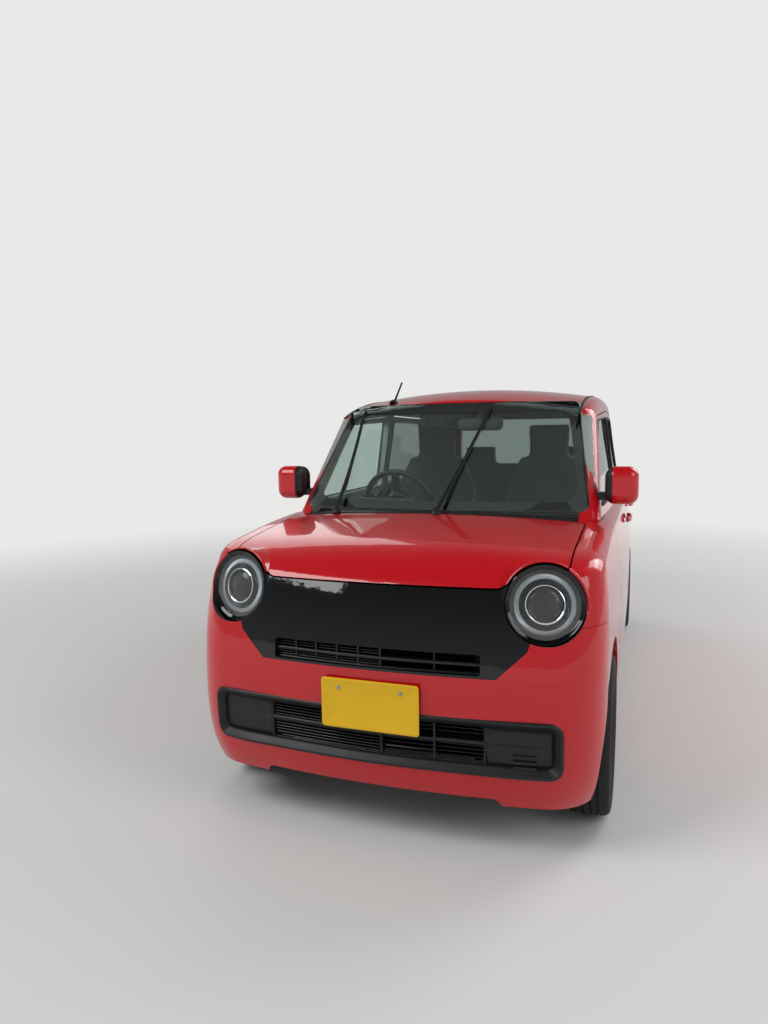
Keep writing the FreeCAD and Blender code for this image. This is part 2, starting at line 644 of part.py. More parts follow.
panel_prism = front_prism(PANEL, nose - 50, at(s.front_overhang))
panel_cut = front_prism(grown(PANEL, s.seat_gap), nose - 50, at(s.front_overhang))
bonnet_region = plan_prism(BONNET_PLAN, s.bonnet_lip - 20, s.belt_height + 30)
below_lip = both_ways([(660, 100, 5), (660, s.bonnet_lip + 33, 5), (444, s.bonnet_lip + 33, 16),
                       (396, s.bonnet_lip, 40)])
lamp_clear = lamp_cylinder(s.lamp_radius + s.panel_gap, POD_DEPTH, 2 * POD_DEPTH)
lip_cut = front_prism(grown(below_lip, s.panel_gap), nose - 50, at(s.front_overhang))
bonnet = skin_shell.common(bonnet_region).cut([lip_cut, lamp_clear, mirrored(lamp_clear)])
lid_parts = []
for x in (s.bonnet_half - 88, -s.bonnet_half + 44):
    lid_parts.append(Part.makeCylinder(5, 44, V(x, lid_axis.y, lid_axis.z), V(1, 0, 0)))
for x in (s.bonnet_half - 72, -s.bonnet_half + 58):
    lid_parts.append(box(x, x + 14, at(s.bonnet_rear) - 30, lid_axis.y, lid_axis.z - 7, lid_axis.z + 4))
    lid_parts.append(Part.makeCylinder(8, 14, V(x, lid_axis.y, lid_axis.z), V(1, 0, 0)))
bonnet = bonnet.fuse(lid_parts)
add_piece("bonnet", max(bonnet.Solids, key=lambda solid: solid.Volume))

bumper_prism = side_prism(BUMPER_SIDE, -FAR, FAR)
bonnet_cut = plan_prism(grown(BONNET_PLAN, s.panel_gap), s.bonnet_lip - 60, s.roof_height)
fender = left_skin.common(box(0, FAR, nose + 60, at(fender_back), s.door_bottom, s.belt_height + 40))
bumper_room = side_prism(grown(BUMPER_SIDE, 1.5), 0, FAR)
fender = fender.cut([front_arch_cut, bumper_room, bonnet_cut, lamp_hole, panel_cut])
cowl_room = box(0, s.bonnet_half - 30, at(s.bonnet_rear), at(s.door_front), s.belt_height - 60, FAR)
fender = fender.cut([greenhouse(-s.seat_gap, 0, 0), cowl_room])
fender = max(fender.Solids, key=lambda solid: solid.Volume)
add_piece("front_fenders", Part.makeCompound([fender, mirrored(fender)]))

bumper_cuts = [front_prism(outline, nose - 50, at(s.front_overhang)) for outline in (LOWER_INTAKE, BUMPER_FOOT)]
bumper_cuts += [panel_cut, front_arch_cut, mirrored(front_arch_cut)] + lamp_holes
bumper = skin_shell.common(bumper_prism).cut(bumper_cuts)
add_piece("front_bumper", max(bumper.Solids, key=lambda solid: solid.Volume))

upper_cut = front_prism(UPPER_INTAKE, nose - 50, at(s.front_overhang))
panel = skin_shell.common(panel_prism).cut(lamp_holes + [upper_cut])
add_piece("grille_panel", max(panel.Solids, key=lambda solid: solid.Volume))

# Grilles: slatted plates seated behind the bumper and the panel

grille_layer = skin_space.cut(lower_body(s.skin + 12, s.skin + 12, SHOULDER_ROUND - s.skin))
SLAT_ROWS = [
    # half width, low, high, slats
    (s.intake_half, s.intake_low, s.intake_high, 7),
    (350, 598, 662, 3),
]
grilles = []
for half_span, low, high, slats in SLAT_ROWS:
    plate = grille_layer.common(box(-half_span - 9, half_span + 9, nose - 20, nose + 260, low - 9, high + 9))
    pitch = (high - low) / slats
    slots = [
        box(-half_span + 12, half_span - 12, nose - 20, nose + 300, low + pitch * (i + 0.3),
            low + pitch * (i + 0.78))
        for i in range(slats)
    ]
    grilles.append(plate.cut(slots))
add_piece("front_grilles", Part.makeCompound(grilles))

# Headlamps: a bowl with a dark ring and a domed lens

lens_radius = s.lamp_radius - s.lamp_ring
LENS_RISE = 13
dome = (lens_radius**2 + LENS_RISE**2) / (2 * LENS_RISE)
lens_middle = V(lens_radius / 2, 0, 9 - dome + math.sqrt(dome**2 - lens_radius**2 / 4))
profile = Part.Wire([
    Part.makeLine(V(0, 0, -70), V(60, 0, -70)),
    Part.makeLine(V(60, 0, -70), V(s.lamp_radius, 0, -30)),
    Part.makeLine(V(s.lamp_radius, 0, -30), V(s.lamp_radius, 0, 0)),
    Part.makeLine(V(s.lamp_radius, 0, 0), V(s.lamp_radius - 6, 0, 6)),
    Part.makeLine(V(s.lamp_radius - 6, 0, 6), V(lens_radius, 0, -4)),
    Part.Arc(V(lens_radius, 0, -4), lens_middle, V(0, 0, 9)).toShape(),
    Part.makeLine(V(0, 0, 9), V(0, 0, -70)),
])
lamp = Part.Face(profile).revolve(V(0, 0, 0), V(0, 0, 1), 360)
lamp.Placement = FreeCAD.Placement(lamp_centre, FreeCAD.Rotation(V(0, 0, 1), lamp_axis))
add_piece("headlamps", Part.makeCompound([lamp, mirrored(lamp)]))

# Rear bumper, tail lamps, tailgate and its pane

rear_arches = [rear_arch_cut, mirrored(rear_arch_cut)]
rear_bumper = skin_shell.common(bumper_cut).cut(rear_arches + [box(-FAR, FAR, nose, rear_axle + 60, 0, FAR)])
add_piece("rear_bumper", max(rear_bumper.Solids, key=lambda solid: solid.Volume))
lamp_block = lower_outer.cut(lower_body(s.pillar, s.pillar, SHOULDER_ROUND / 3))
tail_lamp = lamp_block.common(front_prism(grown(TAIL_LAMP, -s.seat_gap), tail - 130 + s.seat_gap, tail + 50))
tail_lamp = max(tail_lamp.Solids, key=lambda solid: solid.Volume)
add_piece("tail_lamps", Part.makeCompound([tail_lamp, mirrored(tail_lamp)]))
tailgate_top = tail - s.tailgate_front + s.tailgate_gap
tailgate = cabin_shell.common(front_prism(TAILGATE, tailgate_top, tail + 100))
tailgate = tailgate.cut(front_prism(TAILGATE_WINDOW, tailgate_top, tail + 100))
tailgate = tailgate.fuse(gate_hinges)
add_piece("tailgate", max(tailgate.Solids, key=lambda solid: solid.Volume))
gate_pane = pane_outer.cut(pane_inner).common(
    front_prism(grown(TAILGATE_WINDOW, -s.seat_gap), tailgate_top, tail + 100)
)
add_piece("tailgate_glass", gate_pane)


# Pieces of drawn profiles: every corner of a sketch is bound to the sheet


def evaluated(expression):
    """Number that a sheet expression gives."""
    return float(sheet.evalExpression(expression))


def new_body(name):
    """Sub-part built up from sketches."""
    body = doc.addObject("PartDesign::Body", name)
    body.Label = name
    pieces[name] = body
    return body


def origin_item(body, role):
    """Origin plane or axis of a body by its role."""
    return next(item for item in body.Origin.OriginFeatures if item.Role == role)


def add_sketch(body, role, name, corners, offset="0"):
    """Sketch on an origin plane with a closed outline, its corners given as pairs of expressions."""
    sketch = body.newObject("Sketcher::SketchObject", name)
    sketch.AttachmentSupport = [(origin_item(body, role), "")]
    sketch.MapMode = "FlatFace"
    sketch.setExpression("AttachmentOffset.Base.z", offset)
    points = [V(evaluated(a), evaluated(b), 0) for a, b in corners]
    count = len(points)
    for i, point in enumerate(points):
        sketch.addGeometry(Part.LineSegment(point, points[(i + 1) % count]))
    for i in range(count):
        sketch.addConstraint(Sketcher.Constraint("Coincident", i, 2, (i + 1) % count, 1))
    for i, (a, b) in enumerate(corners):
        for kind, expression in (("DistanceX", a), ("DistanceY", b)):
            index = sketch.addConstraint(Sketcher.Constraint(kind, -1, 1, i, 1, evaluated(expression)))
            sketch.setExpression(f"Constraints[{index}]", expression)
    return sketch


def revolve(body, sketch, name):
    """Full turn of a sketch about its horizontal axis."""
    feature = body.newObject("PartDesign::Revolution", name)
    feature.Profile = sketch
    feature.ReferenceAxis = (sketch, ["H_Axis"])
    feature.Angle = 360
    return feature


def place(piece, x, y, z):
    """Placement bound to three expressions."""
    for axis, expression in zip("xyz", (x, y, z)):
        piece.setExpression(f"Placement.Base.{axis}", expression)


# Wheels and tyres: the axle is the sketch's horizontal axis, outward is its positive side

NOSE_Y = "-Sizes.overall_length / 2"
FRONT_AXLE_Y = f"({NOSE_Y} + Sizes.front_overhang)"
REAR_AXLE_Y = f"({FRONT_AXLE_Y} + Sizes.wheelbase)"
WHEEL_PLACES = [
    # name, side, axle y
    ("front_left", 1, FRONT_AXLE_Y),
    ("front_right", -1, FRONT_AXLE_Y),
    ("rear_left", 1, REAR_AXLE_Y),
    ("rear_right", -1, REAR_AXLE_Y),
]
BORE = "(Sizes.spindle_radius + Sizes.running_fit)"
for name, side, axle_y in WHEEL_PLACES:
    sign = "" if side > 0 else "-"
    half_rim = f"{sign}Sizes.rim_width / 2"
    wheel = new_body(f"wheel_{name}")
    rim = add_sketch(wheel, "XY_Plane", f"rim_{name}", [
        (f"-{half_rim}" if side > 0 else "Sizes.rim_width / 2", "Sizes.rim_radius"),
        (f"-{half_rim}" if side > 0 else "Sizes.rim_width / 2", "Sizes.rim_radius - Sizes.rim_wall"),
        (f"{sign}30", "Sizes.rim_radius - Sizes.rim_wall - 8"),
        (f"{sign}38", "Sizes.hub_radius"),
        (f"{sign}26", BORE),
        (f"{sign}52", BORE),
        (f"{sign}52", "Sizes.hub_radius * 0.6"),
        (f"{sign}50", "Sizes.hub_radius"),
        (f"{sign}46", "Sizes.rim_radius - Sizes.rim_wall - 6"),
        (half_rim, "Sizes.rim_radius - 4"),
        (half_rim, "Sizes.rim_radius"),
    ])
    revolve(wheel, rim, f"rim_turned_{name}")
    doc.recompute()
    share = "tan(180 deg / Sizes.spoke_count) * 0.62"
    window = add_sketch(wheel, "YZ_Plane", f"window_{name}", [
        (f"-({share}) * (Sizes.hub_radius + 14)", "Sizes.hub_radius + 14"),
        (f"({share}) * (Sizes.hub_radius + 14)", "Sizes.hub_radius + 14"),
        (f"({share}) * (Sizes.rim_radius - Sizes.rim_wall - 18)", "Sizes.rim_radius - Sizes.rim_wall - 18"),
        (f"-({share}) * (Sizes.rim_radius - Sizes.rim_wall - 18)", "Sizes.rim_radius - Sizes.rim_wall - 18"),
    ])
    pocket = wheel.newObject("PartDesign::Pocket", f"window_cut_{name}")
    pocket.Profile = window
    pocket.Type = 1
    pocket.Midplane = True
    pattern = wheel.newObject("PartDesign::PolarPattern", f"windows_{name}")
    pattern.Originals = [pocket]
    pattern.Axis = (origin_item(wheel, "X_Axis"), [""])
    pattern.Angle = 360
    pattern.setExpression("Occurrences", "Sizes.spoke_count")
    wheel.Tip = pattern
    doc.recompute()
    disc = add_sketch(wheel, "XY_Plane", f"disc_{name}", [
        (f"{sign}-14" if side > 0 else "14", BORE),
        (f"{sign}-14" if side > 0 else "14", "Sizes.disc_radius"),
        (f"{sign}-26" if side > 0 else "26", "Sizes.disc_radius"),
        (f"{sign}-26" if side > 0 else "26", BORE),
    ])
    revolve(wheel, disc, f"disc_turned_{name}")
    hub = add_sketch(wheel, "XY_Plane", f"hub_{name}", [
        (f"{sign}-20" if side > 0 else "20", BORE),
        (f"{sign}-20" if side > 0 else "20", "Sizes.hub_radius * 0.7"),
        (f"{sign}40", "Sizes.hub_radius * 0.7"),
        (f"{sign}40", BORE),
    ])
    revolve(wheel, hub, f"hub_turned_{name}")
    place(wheel, f"{sign}Sizes.track / 2", axle_y, "Sizes.tyre_radius")

    tyre = new_body(f"tyre_{name}")
    half_tyre, bead = "Sizes.tyre_width / 2", "Sizes.rim_radius + Sizes.seat_gap"
    section = add_sketch(tyre, "XY_Plane", f"section_{name}", [
        ("-Sizes.rim_width / 2 + 2", bead),
        (f"-{half_tyre} + 10", f"{bead} + 14"),
        (f"-{half_tyre}", "(Sizes.rim_radius + Sizes.tyre_radius) / 2"),
        (f"-{half_tyre} + 6", "Sizes.tyre_radius - 18"),
        (f"-{half_tyre} + 22", "Sizes.tyre_radius - 2"),
        (f"-{half_tyre} * 0.3", "Sizes.tyre_radius"),
        (f"{half_tyre} * 0.3", "Sizes.tyre_radius"),
        (f"{half_tyre} - 22", "Sizes.tyre_radius - 2"),
        (f"{half_tyre} - 6", "Sizes.tyre_radius - 18"),
        (half_tyre, "(Sizes.rim_radius + Sizes.tyre_radius) / 2"),
        (f"{half_tyre} - 10", f"{bead} + 14"),
        ("Sizes.rim_width / 2 - 2", bead),
    ])
    revolve(tyre, section, f"section_turned_{name}")
    place(tyre, f"{sign}Sizes.track / 2", axle_y, "Sizes.tyre_radius")

# Front knuckles: hub carrier, stub axle, caliper and strut, turning about the kingpin line

ball = V(s.ball_x, front_axle, s.ball_z)
strut_top = V(s.strut_x, front_axle, s.strut_z)
kingpin = (strut_top - ball).normalize()
strut_foot = V(s.strut_foot_x, front_axle, s.strut_foot_z)
strut_line = (strut_top - strut_foot).normalize()
strut_length = (strut_top - strut_foot).Length
hub_x = wheel_x - 30


def rod(start, end, radius):
    """Round bar between two points."""
    return Part.makeCylinder(radius, (end - start).Length, start, end - start)


lug = Part.makeCylinder(19, 34, ball + kingpin * (9 + s.seat_gap), kingpin)
lug_bore = Part.makeCylinder(8 + s.running_fit, 16, ball + kingpin * 5, kingpin)
carrier = Part.makeCylinder(42, 42, V(hub_x - 42, front_axle, s.tyre_radius), V(1, 0, 0))
stub_end = V(wheel_x + 40, front_axle, s.tyre_radius)
stub = rod(V(hub_x - 10, front_axle, s.tyre_radius), stub_end, s.spindle_radius)
upright = rod(ball + kingpin * 20, V(hub_x - 24, front_axle, s.tyre_radius), 16)
bracket = rod(V(hub_x - 24, front_axle, s.tyre_radius + 20), strut_foot + strut_line * 20, 20)
tube = Part.makeCylinder(s.strut_radius, strut_length * 0.52, strut_foot - strut_line * 20, strut_line)
piston = Part.makeCylinder(11, strut_length - 14, strut_foot, strut_line)
spring_start = strut_foot + strut_line * (strut_length * 0.5)
seat_plate = Part.makeCylinder(s.spring_radius + 3, 6, spring_start - strut_line * 6, strut_line)
spring_turns = 5
spring_pitch = (strut_length * 0.5 - 48) / spring_turns
coils = [
    Part.makeCylinder(s.spring_radius, spring_pitch * 0.45, spring_start + strut_line * (spring_pitch * turn),
                      strut_line)
    for turn in range(spring_turns)
]
core_length = spring_pitch * (spring_turns - 0.6)
core = Part.makeCylinder(s.spring_radius - 12, core_length, spring_start - strut_line, strut_line)
top_rod = Part.makeCylinder(10, 30, strut_top - kingpin * 20, kingpin)
caliper_reach = s.disc_radius - 30
caliper = box(hub_x - 32, wheel_x + 4, front_axle + caliper_reach, front_axle + s.disc_radius + 24,
              s.tyre_radius - 50, s.tyre_radius + 50)
disc_slot = box(wheel_x - 32, wheel_x - 8, front_axle - s.disc_radius, front_axle + s.disc_radius + 6,
                s.tyre_radius - 90, s.tyre_radius + 90)
caliper_arm = box(hub_x - 34, hub_x - 16, front_axle, front_axle + caliper_reach + 10, s.tyre_radius - 26,
                  s.tyre_radius + 26)
knuckle_parts = [carrier, stub, upright, bracket, tube, piston, seat_plate, core, top_rod, caliper_arm]
knuckle = lug.fuse(knuckle_parts + coils)
knuckle = knuckle.fuse(caliper.cut(disc_slot)).cut(lug_bore)
add_mirror_image("front_knuckle_right", add_piece("front_knuckle_left", knuckle))

# Front subframe with its lower arms and ball pins

subframe = box(-330, 330, front_axle - 60, front_axle + 170, 196, 240)
lug_room, pins = [], []
for side in (1, -1):
    centre = V(side * s.ball_x, front_axle, s.ball_z)
    line = V(side * kingpin.x, 0, kingpin.z)
    arm_points = [V(side * 320, front_axle - 40, 196), V(side * 320, front_axle + 130, 196),
                  V(side * (s.ball_x - 8), front_axle + 18, 196), V(side * (s.ball_x - 8), front_axle - 18, 196)]
    arm = Part.Face(Part.makePolygon(arm_points + arm_points[:1])).extrude(V(0, 0, -22))
    eye = Part.makeCylinder(21, 22, centre - line * 14, line)
    subframe = subframe.fuse([arm, eye])
    lug_room.append(Part.makeCylinder(60, 60, centre + line * 8, line))
    pins.append(Part.makeCylinder(8, 16, centre + line * 4, line))
add_piece("front_subframe", subframe.cut(lug_room).fuse(pins))

# Wheelhouses: arched liners with an inner wall; the front ones carry the strut towers

liners = []
front_liner = arch(s.front_arch + s.liner, front_axle, s.front_liner_x, FAR)
front_liner = front_liner.cut([arch(s.front_arch + s.seat_gap, front_axle, s.front_liner_x + s.liner, FAR)])
upper_front = box(0, half - 10, front_axle - FAR, front_axle + FAR, ARCH_Z - 40, FAR)
tower_foot = strut_top - kingpin * 250
tower = Part.makeCylinder(s.spring_radius + 34, 268, tower_foot, kingpin)
tower_room = Part.makeCylinder(s.spring_radius + 24, 440, strut_top - kingpin * 446, kingpin)
rod_hole = Part.makeCylinder(10 + s.running_fit, 60, strut_top - kingpin * 30, kingpin)
front_liner = front_liner.common(upper_front).common(skin_space)
front_liner = front_liner.fuse(tower).cut([tower_room, rod_hole])
front_liner = max(front_liner.Solids, key=lambda solid: solid.Volume)
rear_liner = arch(s.rear_arch + s.liner, rear_axle, s.rear_liner_x, half - s.wall)
rear_liner = rear_liner.cut(arch(s.rear_arch + s.seat_gap, rear_axle, s.rear_liner_x + s.liner, FAR))
rear_liner = rear_liner.common(box(0, FAR, rear_axle - FAR, rear_axle + FAR, s.boot_floor - s.floor, FAR))
rear_liner = rear_liner.common(cabin_space)
for liner in (front_liner, rear_liner):
    liners += [liner, mirrored(liner)]
add_piece("wheelhouses", Part.makeCompound(liners))

# Floor: one pressing from the firewall to the boot


def thick_path(points, thickness):
    """Side-view outline of a sheet that follows stations and heights, the points on its upper face."""
    count = len(points)
    lower = []
    for i, (a, b) in enumerate(points):
        before, after = points[max(i - 1, 0)], points[min(i + 1, count - 1)]
        d_in = math.atan2(b - before[1], a - before[0]) if i else None
        d_out = math.atan2(after[1] - b, after[0] - a) if i < count - 1 else None
        d_in, d_out = (d_out if d_in is None else d_in), (d_in if d_out is None else d_out)
        middle = (d_in + d_out) / 2
        reach = thickness / math.cos((d_out - d_in) / 2)
        lower.append((a + reach * math.sin(middle), b - reach * math.cos(middle)))
    return [(a, b, 3) for a, b in points + lower[::-1]]


FLOOR_PATH = [
    (s.firewall, s.belt_height - 62),
    (s.firewall, s.floor_height + 300),
    (s.firewall + 160, s.floor_height),
    (s.seat_station - 100, s.floor_height),
    (s.seat_station - 60, s.tank_floor),
    (s.seat_station + 480, s.tank_floor),
    (s.seat_station + 520, s.floor_height),
    (s.bench_station + 20, s.floor_height),
    (s.bench_station + 60, s.tank_floor),
    (rear_axle_station - 330, s.tank_floor),
    (rear_axle_station - 270, s.boot_floor),
    (s.overall_length - 96, s.boot_floor),
]
floor = side_prism(thick_path(FLOOR_PATH, s.floor), -half, half).common(cabin_space)
liner_room = [
    arch(s.front_arch + s.liner + s.seat_gap, front_axle, s.front_liner_x - s.seat_gap, FAR),
    arch(s.rear_arch + s.liner + s.seat_gap, rear_axle, s.rear_liner_x - s.seat_gap, FAR),
    box(s.screen_base_half - 20, FAR, nose, at(s.door_front), 0, FAR),
]
floor = floor.cut(liner_room + [mirrored(shape) for shape in liner_room])
add_piece("floor_pan", max(floor.Solids, key=lambda solid: solid.Volume))

# Rear axle: cross beam, trailing arms, stub axles, springs and dampers

beam_y = at(s.beam_station)
arm_z = s.tyre_radius
eye_radius = 30
eye_z = s.tank_floor - s.floor - s.seat_gap - eye_radius
rear_spring = s.boot_floor - s.floor - s.seat_gap - arm_z - 10
axle_parts = [box(-480, 480, beam_y - 34, beam_y + 34, arm_z - 30, arm_z + 30)]
for side in (1, -1):
    x = side * 500
    front_eye = V(x, beam_y - 210, eye_z)
    hub = V(side * (wheel_x - 40), rear_axle, s.tyre_radius)
    axle_parts += [
        rod(front_eye, V(x, beam_y, arm_z), 26),
        rod(V(x, beam_y, arm_z), V(side * 530, rear_axle, s.tyre_radius), 26),
        Part.makeCylinder(eye_radius, 60, front_eye - V(30, 0, 0), V(1, 0, 0)),
        rod(V(side * 520, rear_axle, s.tyre_radius), hub, 40),
        rod(hub - V(side * 10, 0, 0), V(side * (wheel_x + 40), rear_axle, s.tyre_radius), s.spindle_radius),
        Part.makeCylinder(44, rear_spring, V(side * 440, beam_y + 90, arm_z + 10)),
        Part.makeCylinder(50, 14, V(side * 440, beam_y + 90, arm_z)),
        box(min(side * 440, x), max(side * 440, x), beam_y + 50, beam_y + 130, arm_z - 14, arm_z + 4),
    ]
axle = axle_parts[0].fuse(axle_parts[1:])
add_piece("rear_axle", axle)

# Engine, fuel tank and exhaust

engine = doc.addObject("Part::Box", "engine_box")
engine.setExpression("Length", "Sizes.engine_width")
engine.setExpression("Width", "Sizes.engine_length")
engine.setExpression("Height", "Sizes.engine_height")
place(engine, "-Sizes.engine_width / 2 - 30", f"{FRONT_AXLE_Y} - Sizes.engine_length / 2 - 60",
      "240 + Sizes.seat_gap")
tank = doc.addObject("Part::Box", "tank_box")
tank.setExpression("Length", "Sizes.tank_width")
tank.setExpression("Width", "Sizes.tank_length")
tank.setExpression("Height", "Sizes.tank_floor - Sizes.floor - Sizes.seat_gap - Sizes.sill_height + 8")
place(tank, "-Sizes.tank_width / 2", f"{NOSE_Y} + Sizes.seat_station - 40", "Sizes.sill_height - 8")
doc.recompute()
for source, name, radius in ((engine, "engine_block", 30), (tank, "fuel_tank", 24)):
    rounded = doc.addObject("Part::Fillet", name)
    rounded.Label = name
    rounded.Base = source
    upright_edges = [i + 1 for i, edge in enumerate(source.Shape.Edges) if edge.BoundBox.ZLength > 1]
    rounded.Edges = [(number, radius, radius) for number in upright_edges]
    pieces[name] = rounded


def tube_along(points, radius):
    """Round bar along straight runs joined by tangent arcs, each as large as its runs allow."""
    edges, last = [], points[0]
    for before, here, after in zip(points, points[1:], points[2:]):
        into, out = (before - here), (after - here)
        reach = 0.45 * min(into.Length, out.Length)
        enter, leave = here + into.normalize() * reach, here + out.normalize() * reach
        half_angle = into.getAngle(out) / 2
        bisector = (into + out).normalize()
        centre = here + bisector * (reach / math.cos(half_angle))
        middle = centre - bisector * (reach * math.tan(half_angle))
        edges += [Part.makeLine(last, enter), Part.Arc(enter, middle, leave).toShape()]
        last = leave
    edges.append(Part.makeLine(last, points[-1]))
    path = Part.Wire(edges)
    circle = Part.Wire(Part.makeCircle(radius, points[0], points[1] - points[0]))
    return path.makePipeShell([circle], True, False)


EXHAUST_PATH = [
    # x, station, height
    (150, 700, 176),
    (330, 960, 158),
    (470, 1250, 158),
    (470, 2080, 158),
    (360, 2400, 166),
    (260, 2900, 196),
    (200, 3130, 240),
]
pipe = tube_along([V(x, at(station), z) for x, station, z in EXHAUST_PATH], s.exhaust_radius)
silencer = Part.makeCylinder(85, 420, V(-180, at(3150), 270), V(1, 0, 0))
tail_pipe = rod(V(-140, at(3190), 250), V(-140, tail - 70, 232), s.exhaust_radius)
HANGERS = [
    # x, station, height of the exhaust, height of the floor above it
    (470, 1300, 158, s.floor_height),
    (30, 3150, 270, s.boot_floor),
]
hangers = [
    Part.makeCylinder(s.hanger_radius, top - s.floor - s.seat_gap - z, V(x, at(station), z))
    for x, station, z, top in HANGERS
]
add_piece("exhaust", pipe.fuse([silencer, tail_pipe] + hangers))

# Dashboard with the steering column, and the steering wheel

tilt = math.radians(s.steering_tilt)
column_line = V(0, math.cos(tilt), math.sin(tilt))
wheel_centre = V(-s.steering_x, at(s.steering_station), s.steering_z)
dash_y = s.dash_front
DASH_PROFILE = [
    (dash_y, 640, 30),
    (dash_y, s.belt_height - 60, 30),
    (dash_y + 60, s.belt_height - 14, 40),
    (dash_y + s.dash_depth * 0.8, s.belt_height - 24, 30),
    (dash_y + s.dash_depth, s.belt_height - 62, 24),
    (dash_y + s.dash_depth - 14, s.belt_height - 160, 30),
    (dash_y + s.dash_depth - 90, 690, 30),
    (dash_y + s.dash_depth - 120, 610, 20),
]
dash = side_prism(DASH_PROFILE, -s.dash_half, s.dash_half)
hood_profile = [
    (dash_y + 120, s.belt_height - 60, 10),
    (dash_y + 130, s.belt_height + 26, 20),
    (dash_y + s.dash_depth + 4, s.belt_height + 14, 14),
    (dash_y + s.dash_depth - 4, s.belt_height - 70, 10),
]
hood = side_prism(hood_profile, -s.steering_x - 165, -s.steering_x + 165)
column = Part.makeCylinder(s.column_radius + 16, 200, wheel_centre - column_line * 250, column_line)
shaft = Part.makeCylinder(s.spindle_radius, 60, wheel_centre - column_line * 60, column_line)
add_piece("dashboard", dash.fuse([hood, column, shaft]))

grip_line = s.steering_radius - s.steering_grip
rim = Part.makeTorus(grip_line, s.steering_grip)
boss = Part.makeCylinder(58, 46, V(0, 0, -26))
boss = boss.makeFillet(10, [edge for edge in boss.Edges if abs(edge.BoundBox.ZLength) < 0.01])
spokes = [box(-grip_line, grip_line, -20, 20, -8, 6), box(-18, 18, -grip_line, 0, -8, 6)]
bore = Part.makeCylinder(s.spindle_radius + s.running_fit, 30, V(0, 0, -28))
steering = rim.fuse([boss] + spokes).cut(bore)
wheel_frame = FreeCAD.Rotation(V(1, 0, 0), V(0, -math.sin(tilt), math.cos(tilt)), column_line, "ZXY")
steering.Placement = FreeCAD.Placement(wheel_centre, wheel_frame)
add_piece("steering_wheel", steering)

# Seats: cushions, backs and headrests

SEAT_SIDE = [
    (0, 0.3, 30),
    (-10, s.seat_top - s.tank_floor - 20, 60),
    (60, s.seat_top - s.tank_floor + 8, 50),
    (400, s.seat_top - s.tank_floor - 30, 60),
    (420, 0.3, 40),
]
cushion_side = [(s.seat_station + a, s.tank_floor + b, r) for a, b, r in SEAT_SIDE]
cushion = side_prism(cushion_side, -s.seat_width / 2, s.seat_width / 2)
back_profile = [
    (s.seat_station + 340, s.seat_top - 130, 30),
    (s.seat_station + 350, s.seat_top - 20, 60),
    (s.seat_station + 455, 1195, 40),
    (s.seat_station + 545, 1190, 40),
    (s.seat_station + 520, s.seat_top - 60, 60),
    (s.seat_station + 480, s.seat_top - 130, 30),
]
back = side_prism(back_profile, -s.seat_width / 2, s.seat_width / 2)
back_outline = both_ways([(s.seat_width / 2, s.seat_top - 150, 10), (s.seat_width / 2, 1020, 80),
                          (152, 1215, 50)])
back = back.common(front_prism(back_outline, nose, tail))
add_head = [
    (s.seat_station + 452, 1170, 20),
    (s.seat_station + 470, 1372, 30),
    (s.seat_station + 540, 1372, 30),
    (s.seat_station + 548, 1170, 20),
]
head = side_prism(add_head, -112, 112)
seat = cushion.fuse([back, head])
seats = []
for side in (1, -1):
    seats.append(seat.translated(V(side * s.seat_x, 0, 0)))
add_piece("front_seats", Part.makeCompound(seats))
bench_side = [
    (s.bench_station + 70, s.tank_floor + 40, 10),
    (s.bench_station - 10, s.bench_top - 60, 50),
    (s.bench_station + 40, s.bench_top, 50),
    (s.bench_station + 420, s.bench_top - 26, 40),
    (s.bench_station + 560, 1120, 36),
    (s.bench_station + 650, 1110, 36),
    (s.bench_station + 520, s.bench_top - 120, 50),
    (s.bench_station + 250, s.tank_floor + 40, 10),
]
bench = side_prism(bench_side, -s.bench_half, s.bench_half)
bench_feet = [
    box(x, x + 120, at(s.bench_station) + 120, at(s.bench_station) + 250, s.tank_floor + s.seat_gap,
        s.tank_floor + 60)
    for x in (-420, -60, 300)
]
head_blocks = [
    box(x - 105, x + 105, at(s.bench_station) + 560, at(s.bench_station) + 650, 1060, 1225) for x in (-270, 270)
]
add_piece("rear_seat", bench.fuse(head_blocks + bench_feet))

# Door mirrors: a rounded housing on a foot that reaches back to the door's window frame

housing = box(s.mirror_reach - s.mirror_width, s.mirror_reach, at(s.mirror_station) - s.mirror_depth / 2,
              at(s.mirror_station) + s.mirror_depth / 2, s.mirror_z - s.mirror_height / 2,
              s.mirror_z + s.mirror_height / 2)
housing = housing.makeFillet(s.mirror_depth * 0.44, housing.Edges)
foot_front, foot_side = at(s.mirror_station), s.mirror_reach - s.mirror_width / 2
foot_plan = [
    (s.screen_base_half, foot_front),
    (foot_side, foot_front),
    (foot_side, foot_front + 30),
    (s.mirror_reach - s.mirror_width, foot_front + s.mirror_foot),
    (s.screen_base_half, foot_front + s.mirror_foot),
]
foot_corners = [V(x, y, s.mirror_z - 60) for x, y in foot_plan]
mirror_foot = Part.Face(Part.makePolygon(foot_corners + foot_corners[:1])).extrude(V(0, 0, 28))
mirror = housing.fuse(mirror_foot).cut(greenhouse(-s.seat_gap, -s.seat_gap, 0))
mirror = max(mirror.Solids, key=lambda solid: solid.Volume)
add_mirror_image("mirror_right", add_piece("mirror_left", mirror))

# Check every object, then write one file for each sub-part

doc.recompute()
for item in doc.Objects:
    faults = [state for state in item.State if state in ("Invalid", "Error")]
    if faults:
        raise RuntimeError(f"{item.Label} is {faults}")
os.makedirs("parts", exist_ok=True)
for name, piece in pieces.items():
    shape = piece.Shape
    if shape.isNull() or not shape.isValid() or not shape.Solids:
        raise RuntimeError(f"{name} has no valid solid")
    shape.exportStep(f"parts/{name}.step")
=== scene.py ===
"""Looks of a small upright hatchback with round headlamps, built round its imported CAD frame."""

from __future__ import annotations

